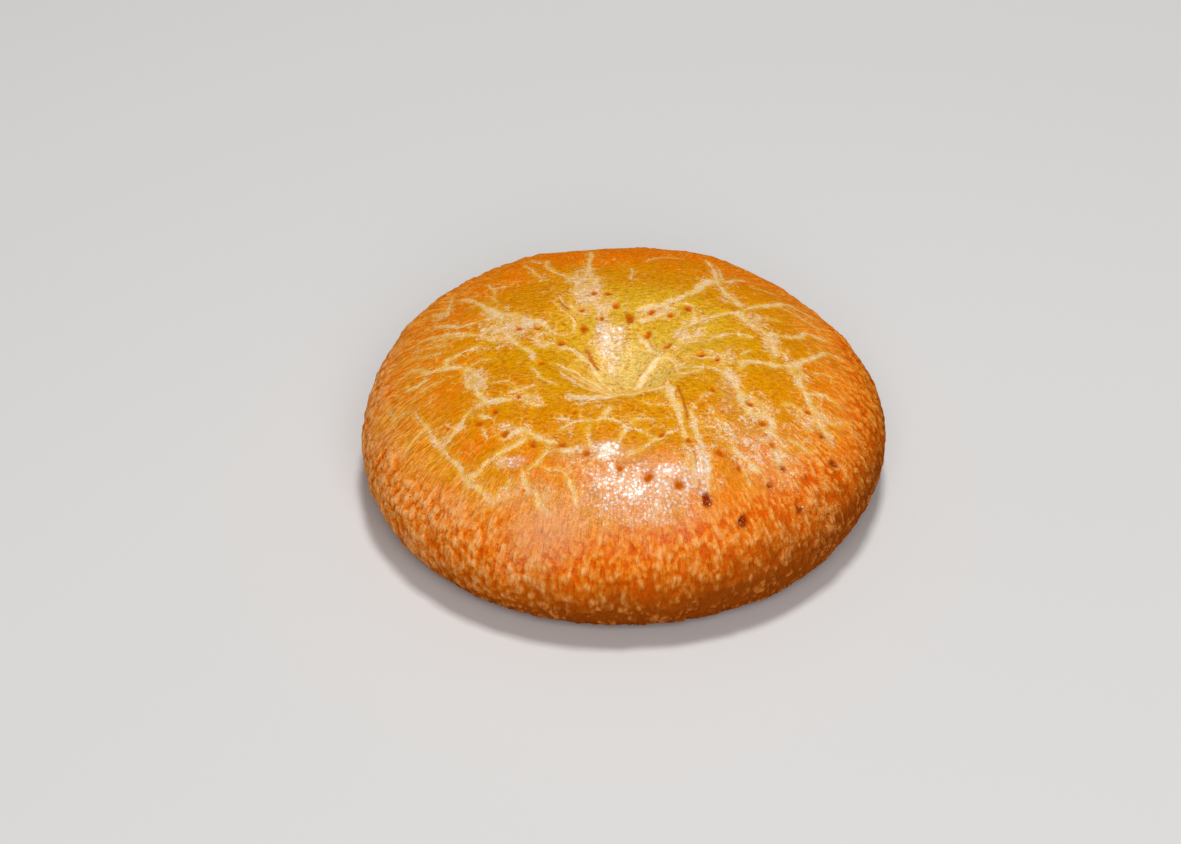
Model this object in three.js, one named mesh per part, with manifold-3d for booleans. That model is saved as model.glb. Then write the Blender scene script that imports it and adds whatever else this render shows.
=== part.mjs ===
// Poppy seed flatcake: a round cake of filled yeast dough, baked whole with its filling shut in. It is one
// closed crust with a navel-like hollow in the top, docking holes, splits in the glazed skin and a lumpy
// shoulder that tucks under to a flat base. Millimetres, +Z up, origin in the middle of the base. The side
// that faces the viewer is -Y, and directions are degrees from +X towards +Y.

import * as THREE from 'three';
import { mergeVertices } from 'three/addons/utils/BufferGeometryUtils.js';
import Module from 'manifold-3d';

// Driving dimensions
const RADIUS = 50;
const WIDEST_LEVEL = 10.8;
const DOME_RISE = 21.5; // above the widest level, before the hollow is pressed in
const DOME_POWER = 1.92; // 2 is an ellipse, and less is a little more pointed
const TUCK = 8.6; // how far the side comes in below the widest level
const BASE_TRIM = 0.5; // what the flat base takes off the rounded underside
const FACE_DETAIL = 17; // divisions of the faceted ball that the crust is shaped from
const PROFILE_STEPS = 240;
const BASE_SHARE = 0.05; // how densely the base is divided, against 1 for the rest

// An uneven outline: waves round it, and their cosine and sine parts
const OUTLINE_WAVES = [
  [2, 0.1, -0.07],
  [3, 0.27, -0.28],
  [4, -0.18, 0.03],
  [5, 0.16, -0.06],
  [6, 0.12, 0.15],
];

// The hollow: steep towards the viewer and on the right, and gentle at the back and on the left
const HOLLOW = { x: 1.4, y: -4.3, depth: 8.8 };
const HOLLOW_REACH = { mean: 9.6, right: -1.6, back: 1.9 };
const HOLLOW_POWER = { mean: 2, right: 0.3, back: -0.6 };

// Folds that run into the hollow: direction, height (a crease is below 0) and half width
const FOLDS = [
  [37, 1.0, 1.2],
  [-8, -0.5, 2.6],
  [80, -0.35, 1.4],
  [143, -0.8, 1.1],
  [158, 0.6, 1.0],
  [182, -0.45, 0.8],
  [203, 0.4, 1.8],
  [245, -0.5, 1.3],
];
const FOLD_PEAK = 5; // how far from the bottom of the hollow a fold is strongest

// Soft swells of the crust: height, wave length, direction and shift
const SWELLS = [
  [0.22, 31, 25, 1.3],
  [0.18, 23, 100, 4.1],
  [0.14, 17, 160, 2.2],
  [0.1, 13, 65, 5.6],
];

// Lumps of the blistered shoulder and side
const LUMP_HEIGHT = 0.22;
const LUMP_SIZE = 3.2;
const SHOULDER_START = 39;
const SHOULDER_FULL = 46;

// Docking holes: x, y and radius
const DOCKING_HOLES = [
  [4.9, -32.9, 1.25],
  [10.4, -34.2, 1.15],
  [15.5, -36.4, 1.0],
  [21.9, -38.8, 0.95],
  [18.1, -26.9, 1.15],
  [21.6, -28.9, 0.9],
  [27.1, -30.9, 0.75],
  [32.4, -32.8, 0.75],
  [-0.4, -31.2, 0.8],
  [-6.5, -28.1, 0.95],
  [-11.2, -26.0, 0.85],
  [-16.4, -25.0, 1.0],
  [-21.7, -21.9, 0.95],
  [-27.1, -18.8, 0.8],
  [-23.8, -16.2, 0.95],
  [7.2, -24.1, 0.95],
  [12.4, -25.2, 0.9],
  [27.9, -22.6, 0.8],
  [26.4, -18.4, 1.0],
  [24.1, -14.3, 0.85],
  [29.8, -26.9, 0.7],
  [39.2, -22.4, 0.8],
  [17.9, -4.1, 0.75],
  [14.8, -2.8, 0.9],
  [1.6, 9.7, 1.15],
  [6.0, 11.0, 0.9],
  [12.7, 12.3, 0.9],
  [5.0, 5.3, 0.9],
  [-7.2, 6.6, 0.95],
  [-11.3, 2.5, 0.95],
  [-19.8, 6.9, 0.85],
  [-19.5, -14.1, 0.7],
];
const HOLE_DEPTH = 1.2; // in hole radii
const HOLE_SIDES = 8;

// Main splits in the glazed skin: half width, depth, and places that the split runs through
const SPLITS = [
  [0.8, 0.5, [-12.6, -10.8], [-8.5, -13.8], [-2, -14.7], [5.5, -13.4], [10.2, -10.6], [15, -6.9], [20.6, -7.7]],
  [0.9, 0.5, [8.4, -13.4], [9.8, -17], [11, -21.5], [13.4, -28], [14.6, -34.6]],
  [0.6, 0.45, [21.9, -8.4], [23.8, -11.1], [26.2, -14.4], [27.8, -20.4]],
  [1.0, 0.45, [3.4, 12.9], [8.8, 13], [14.5, 17.9], [19.8, 25], [18.2, 30], [15.6, 35.8]],
  [0.7, 0.45, [15.6, 8.2], [20.1, 10.8], [25.4, 13], [28.1, 17.4], [35.2, 23]],
  [0.6, 0.45, [24.5, 9], [29.3, 6.3], [33.6, 8.7], [38, 11.2]],
  [0.6, 0.45, [32.2, -0.4], [36, 3], [39.5, 7.2], [44.2, 7.4]],
  [0.8, 0.45, [12.4, -4.9], [19.4, -3.7], [25.7, -2.5], [32, -3.4]],
  [0.6, 0.4, [34.2, -6.4], [37.1, -11.6], [41.2, -12], [44.2, -8]],
  [0.9, 0.5, [-38.9, 1.3], [-33.7, -2.2], [-29, -4.6], [-27.1, -11], [-21, -14.5]],
  [0.8, 0.45, [-32.6, 24.3], [-27.2, 17.2], [-20.2, 11], [-12.6, 4.7]],
  [0.7, 0.45, [-36.4, 14.6], [-31.2, 10.2], [-24.3, 7.7]],
  [0.8, 0.45, [-39.2, 11.5], [-30.4, 7], [-24, 4.4], [-18.8, 0.1]],
  [0.6, 0.4, [-20.2, 35.2], [-15.2, 31.2], [-10.5, 23.3]],
  [0.6, 0.4, [-6.6, 36.8], [-5.4, 31.2], [-6.3, 25]],
  [0.6, 0.4, [-37.1, -17.4], [-32.2, -23], [-28.1, -30.2], [-22.2, -36.6]],
  [0.6, 0.4, [-18.1, -31.4], [-15.8, -36.6], [-11.8, -39.7]],
];
const SPLIT_STEP = 3; // along a split
const SPLIT_RUN_OUT = 0.7; // the part of its depth that a split has lost at its ends
const SPLIT_SIDES = 6;
const SLOPE_REACH = 0.8; // the top's slope at a place is taken between points this far to each side

const CRUST_COLOUR = 0xd08424;
const CRUST_ROUGHNESS = 0.42;

function radians(degrees) {
  return THREE.MathUtils.degToRad(degrees);
}

// A repeatable value from 0 to 1 at each point of a whole-number lattice
function latticeValue(i, j, k) {
  const mixed = Math.sin(i * 127.1 + j * 311.7 + k * 74.7) * 43758.5453;
  return mixed - Math.floor(mixed);
}

// Smooth noise from -1 to 1
function smoothNoise(x, y, z) {
  const [i, j, k] = [Math.floor(x), Math.floor(y), Math.floor(z)];
  const [u, v, w] = [x - i, y - j, z - k].map((part) => part * part * (3 - 2 * part));
  let total = 0;
  for (const di of [0, 1]) {
    for (const dj of [0, 1]) {
      for (const dk of [0, 1]) {
        const share = (di ? u : 1 - u) * (dj ? v : 1 - v) * (dk ? w : 1 - w);
        total += share * latticeValue(i + di, j + dj, k + dk);
      }
    }
  }
  return total * 2 - 1;
}

function outlineRadius(angle) {
  let radius = RADIUS;
  for (const [waves, cosine, sine] of OUTLINE_WAVES) {
    radius += cosine * Math.cos(waves * angle) + sine * Math.sin(waves * angle);
  }
  return radius;
}

// How far the hollow lowers the top at a place, with the folds on its walls
function hollowDepth(x, y) {
  const dx = x - HOLLOW.x;
  const dy = y - HOLLOW.y;
  const distance = Math.hypot(dx, dy) + 1e-6;
  const right = dx / distance;
  const back = dy / distance;
  const reach = HOLLOW_REACH.mean + HOLLOW_REACH.right * right + HOLLOW_REACH.back * back;
  const power = HOLLOW_POWER.mean + HOLLOW_POWER.right * right + HOLLOW_POWER.back * back;
  let depth = HOLLOW.depth * Math.exp(-((distance / reach) ** power));
  const strength = (distance / FOLD_PEAK) * Math.exp(1 - distance / FOLD_PEAK);
  for (const [direction, height, halfWidth] of FOLDS) {
    const along = dx * Math.cos(radians(direction)) + dy * Math.sin(radians(direction));
    const aside = dy * Math.cos(radians(direction)) - dx * Math.sin(radians(direction));
    if (along > 0) {
      depth -= height * strength * Math.exp(-((aside / halfWidth) ** 2));
    }
  }
  return depth;
}

function swell(x, y) {
  let height = 0;
  for (const [size, length, direction, shift] of SWELLS) {
    const along = x * Math.cos(radians(direction)) + y * Math.sin(radians(direction));
    height += size * Math.sin((2 * Math.PI * along) / length + shift);
  }
  return height;
}

function domeHeight(share) {
  return WIDEST_LEVEL + DOME_RISE * Math.max(0, 1 - share ** DOME_POWER) ** (1 / DOME_POWER);
}

// The top's height at a place
function topHeight(x, y) {
  const share = Math.min(1, Math.hypot(x, y) / outlineRadius(Math.atan2(y, x)));
  return domeHeight(share) - hollowDepth(x, y) + swell(x, y);
}

// The plain crust's profile from the top of the dome to the middle of the base, with the area passed so far
function crustProfile() {
  const points = [];
  for (let step = 0; step <= PROFILE_STEPS; step += 1) {
    const angle = Math.PI * (0.5 - step / PROFILE_STEPS);
    if (angle > 0) {
      const share = Math.cos(angle) ** (2 / DOME_POWER);
      points.push({ share, height: domeHeight(share), density: 1 });
    } else {
      const share = 1 - (TUCK / RADIUS) * (1 - Math.cos(angle));
      const height = WIDEST_LEVEL + (WIDEST_LEVEL + BASE_TRIM) * Math.sin(angle);
      points.push({ share, height, density: 1 });
    }
  }
  points.push({ share: 0, height: -BASE_TRIM, density: BASE_SHARE });
  let area = 0;
  points.forEach((point, index) => {
    const before = points[Math.max(0, index - 1)];
    const run = Math.hypot((point.share - before.share) * RADIUS, point.height - before.height);
    area += run * (point.share + before.share) * point.density;
    point.area = area;
  });
  return points;
}

// The place on the profile that has passed a share of the whole area
function alongProfile(profile, areaShare) {
  const area = areaShare * profile[profile.length - 1].area;
  const next = Math.max(1, profile.findIndex((point) => point.area >= area));
  const [a, b] = [profile[next - 1], profile[next]];
  const part = (area - a.area) / Math.max(b.area - a.area, 1e-9);
  return {
    share: THREE.MathUtils.lerp(a.share, b.share, part),
    height: THREE.MathUtils.lerp(a.height, b.height, part),
    onTop: b.height > WIDEST_LEVEL,
  };
}

// The lumpy shoulder stands out from the middle of the cake by this much
function shoulderLump(x, y, z, onTop) {
  const start = onTop ? THREE.MathUtils.smoothstep(Math.hypot(x, y), SHOULDER_START, SHOULDER_FULL) : 1;
  return LUMP_HEIGHT * start * smoothNoise(x / LUMP_SIZE, y / LUMP_SIZE, z / LUMP_SIZE);
}

// Moves each corner of a finely faceted ball to its place on the crust
function makeCrust() {
  const ball = new THREE.IcosahedronGeometry(1, FACE_DETAIL);
  const profile = crustProfile();
  const places = ball.getAttribute('position');
  const corner = new THREE.Vector3();
  for (let index = 0; index < places.count; index += 1) {
    corner.fromBufferAttribute(places, index).normalize();
    const angle = Math.atan2(corner.y, corner.x);
    const { share, height, onTop } = alongProfile(profile, (1 - corner.z) / 2);
    const radius = share * outlineRadius(angle);
    const x = radius * Math.cos(angle);
    const y = radius * Math.sin(angle);
    const z = onTop ? topHeight(x, y) : height + swell(x, y) * Math.max(0, height / WIDEST_LEVEL);
    const stretch = 1 + shoulderLump(x, y, z, onTop) / RADIUS;
    places.setXYZ(index, x * stretch, y * stretch, z + shoulderLump(x, y, z, onTop) * (z / DOME_RISE) * 0.5);
  }
  return ball;
}

// The direction straight out of the top at a place
function topNormal(x, y) {
  const slopeX = (topHeight(x + SLOPE_REACH, y) - topHeight(x - SLOPE_REACH, y)) / (2 * SLOPE_REACH);
  const slopeY = (topHeight(x, y + SLOPE_REACH) - topHeight(x, y - SLOPE_REACH)) / (2 * SLOPE_REACH);
  return new THREE.Vector3(-slopeX, -slopeY, 1).normalize();
}

// Turns an upright cutter to stand square on the top at a place
function standOnTop(geometry, x, y) {
  const turn = new THREE.Quaternion().setFromUnitVectors(new THREE.Vector3(0, 0, 1), topNormal(x, y));
  return geometry.applyQuaternion(turn).translate(x, y, topHeight(x, y));
}

// What a docking pin leaves: a round-bottomed hole with a wider mouth
function dockingHole([x, y, radius]) {
  const depth = radius * HOLE_DEPTH;
  const profile = [
    new THREE.Vector2(0, -depth),
    new THREE.Vector2(radius * 0.6, -depth * 0.8),
    new THREE.Vector2(radius, 0),
    new THREE.Vector2(radius * 1.2, depth),
    new THREE.Vector2(0, depth),
  ];
  const hole = new THREE.LatheGeometry(profile, HOLE_SIDES).rotateX(Math.PI / 2);
  return standOnTop(hole, x, y);
}

// A shallow groove that follows the top through its places and runs out at both ends
function splitGroove([halfWidth, depth, ...places]) {
  const route = new THREE.CatmullRomCurve3(places.map(([x, y]) => new THREE.Vector3(x, y, 0)));
  const steps = Math.max(3, Math.round(route.getLength() / SPLIT_STEP));
  const radius = (halfWidth ** 2 + depth ** 2) / (2 * depth);
  const middles = route.getSpacedPoints(steps).map(({ x, y }, index) => {
    const runOut = SPLIT_RUN_OUT * depth * (1 - Math.sin((Math.PI * index) / steps) ** 0.5);
    const onTop = new THREE.Vector3(x, y, topHeight(x, y));
    return onTop.addScaledVector(topNormal(x, y), radius - depth + runOut);
  });
  const section = new THREE.Shape();
  for (let side = 0; side < SPLIT_SIDES; side += 1) {
    const angle = (2 * Math.PI * (side + 0.5)) / SPLIT_SIDES;
    const corner = [radius * Math.cos(angle), radius * Math.sin(angle)];
    if (side === 0) {
      section.moveTo(...corner);
    } else {
      section.lineTo(...corner);
    }
  }
  section.closePath();
  const path = new THREE.CatmullRomCurve3(middles);
  return new THREE.ExtrudeGeometry(section, { steps, bevelEnabled: false, extrudePath: path });
}

// A closed geometry as a solid that can be joined and cut
function toSolid(wasm, geometry) {
  const bare = geometry.clone();
  bare.deleteAttribute('normal');
  bare.deleteAttribute('uv');
  const merged = mergeVertices(bare, 1e-4);
  const corners = merged.index.array;
  const triVerts = [];
  for (let first = 0; first < corners.length; first += 3) {
    const [a, b, c] = corners.slice(first, first + 3);
    if (a !== b && b !== c && c !== a) {
      triVerts.push(a, b, c);
    }
  }
  const mesh = new wasm.Mesh({
    numProp: 3,
    vertProperties: new Float32Array(merged.getAttribute('position').array),
    triVerts: new Uint32Array(triVerts),
  });
  return new wasm.Manifold(mesh);
}

function toGeometry(solid) {
  const { vertProperties, triVerts } = solid.getMesh();
  const geometry = new THREE.BufferGeometry();
  geometry.setAttribute('position', new THREE.BufferAttribute(new Float32Array(vertProperties), 3));
  geometry.setIndex(new THREE.BufferAttribute(new Uint32Array(triVerts), 1));
  return geometry;
}

// Centres the cake over the origin, as its uneven outline leaves it a little to one side
function centreOverOrigin(geometry) {
  geometry.computeBoundingBox();
  const middle = geometry.boundingBox.getCenter(new THREE.Vector3());
  return geometry.translate(-middle.x, -middle.y, 0);
}

const wasm = await Module();
wasm.setup();

let cake = toSolid(wasm, makeCrust());
const underBase = new THREE.BoxGeometry(3 * RADIUS, 3 * RADIUS, 2 * WIDEST_LEVEL).translate(0, 0, -WIDEST_LEVEL);
cake = cake.subtract(toSolid(wasm, underBase));
for (const split of SPLITS) {
  cake = cake.subtract(toSolid(wasm, splitGroove(split)));
}
for (const hole of DOCKING_HOLES) {
  cake = cake.subtract(toSolid(wasm, dockingHole(hole)));
}

const geometry = centreOverOrigin(toGeometry(cake));
geometry.computeVertexNormals();
const material = new THREE.MeshStandardMaterial({
  color: CRUST_COLOUR,
  roughness: CRUST_ROUGHNESS,
  metalness: 0,
  flatShading: true,
});
const flatcake = new THREE.Mesh(geometry, material);
flatcake.name = 'flatcake';

const group = new THREE.Group();
group.add(flatcake);

export default group;
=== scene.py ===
"""Poppy seed flatcake: the glazed, split and blistered crust of a round filled cake, as one closed mesh.

Sizes are in millimetres and directions in degrees from +X towards +Y, until the mesh is made in metres.
The front is -Y.
"""

import math
from types import SimpleNamespace

import bpy
import numpy as np
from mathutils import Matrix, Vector


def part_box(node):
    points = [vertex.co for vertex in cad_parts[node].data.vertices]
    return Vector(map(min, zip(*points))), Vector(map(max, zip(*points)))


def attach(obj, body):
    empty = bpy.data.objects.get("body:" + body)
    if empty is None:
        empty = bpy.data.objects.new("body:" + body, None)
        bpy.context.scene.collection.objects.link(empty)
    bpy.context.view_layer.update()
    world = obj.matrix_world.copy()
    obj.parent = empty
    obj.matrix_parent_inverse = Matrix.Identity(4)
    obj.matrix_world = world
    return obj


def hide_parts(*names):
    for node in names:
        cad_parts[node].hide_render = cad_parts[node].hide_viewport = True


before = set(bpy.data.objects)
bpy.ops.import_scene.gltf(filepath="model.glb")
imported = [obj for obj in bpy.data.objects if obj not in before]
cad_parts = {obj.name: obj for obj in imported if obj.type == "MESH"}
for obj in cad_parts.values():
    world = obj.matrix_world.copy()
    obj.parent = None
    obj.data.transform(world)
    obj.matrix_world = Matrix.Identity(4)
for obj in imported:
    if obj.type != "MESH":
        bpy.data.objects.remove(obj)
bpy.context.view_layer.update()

MM = 0.001

# The plain form, the same as the solid's. Outline waves: number round, cosine part and sine part
RADIUS = 50
WIDEST_LEVEL = 10.8
DOME_RISE = 21.5
DOME_POWER = 1.92
TUCK = 8.6
BASE_TRIM = 0.5
OUTLINE_WAVES = [(2, 0.1, -0.07), (3, 0.27, -0.28), (4, -0.18, 0.03), (5, 0.16, -0.06), (6, 0.12, 0.15)]
HOLLOW_PLACE = (1.4, -4.3)
HOLLOW_DEPTH = 8.8
HOLLOW_REACH = {"mean": 9.6, "right": -1.6, "back": 1.9}
HOLLOW_POWER = {"mean": 2, "right": 0.3, "back": -0.6}
WALL_WARP, WALL_WARP_SIZE = 0.5, 4
FOLD_PEAK = 5  # how far from the hollow's middle its folds are highest

# Folds that run into the hollow: direction, height and half width
FOLDS = [
    (37, 1.0, 1.2), (-8, -0.5, 2.6), (80, -0.35, 1.4), (143, -0.8, 1.1), (158, 0.6, 1.0), (182, -0.45, 0.8),
    (203, 0.4, 1.8), (245, -0.5, 1.3),
]
CREASES = 6  # how closely the finer creases lie
CREASE_HEIGHT = 0.22
CREASE_LENGTH = 9

# Slow swells of the top: height, length, direction and shift
SWELLS = [(0.22, 31, 25, 1.3), (0.18, 23, 100, 4.1), (0.14, 17, 160, 2.2), (0.1, 13, 65, 5.6)]

# The shoulder: the radii between which lumps and blisters come in, and how the blisters' line strays
LUMP_SPAN = (39, 46)
LUMP_HEIGHT = 0.22
LUMP_SIZE = 3.2
LUMP_LIFT = 0.5  # upwards, against 1 outwards
BLISTER_SPAN = (40.5, 46.5)
GLAZE_WANDER, GLAZE_WANDER_LENGTH = 2.2, 9
GLAZE_LEAN = 2.2  # how much further in the blisters start at the front, and out at the back
GLAZE_SLIP = 3.5  # how much further out they start on the left
GLAZE_SLIP_WAY = math.radians(205)

# The mesh: a square grid wrapped over the top and side, and thinning rings under the base
GRID = 312
PROFILE_STEPS = 400
MIDDLE_DENSITY = 1.8  # against 1 at the side
MIDDLE_REACH = 24
BASE_HALVINGS = 4
RING_STEP, RING_CLOSING = 0.16, 0.2  # how much smaller each ring is, and how quickly that slows down
FLAT_FOOT = 2.2  # the relief fades away below this height
FAR_OFF = 60  # keeps the top's marks away from the part that tucks under

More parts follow.
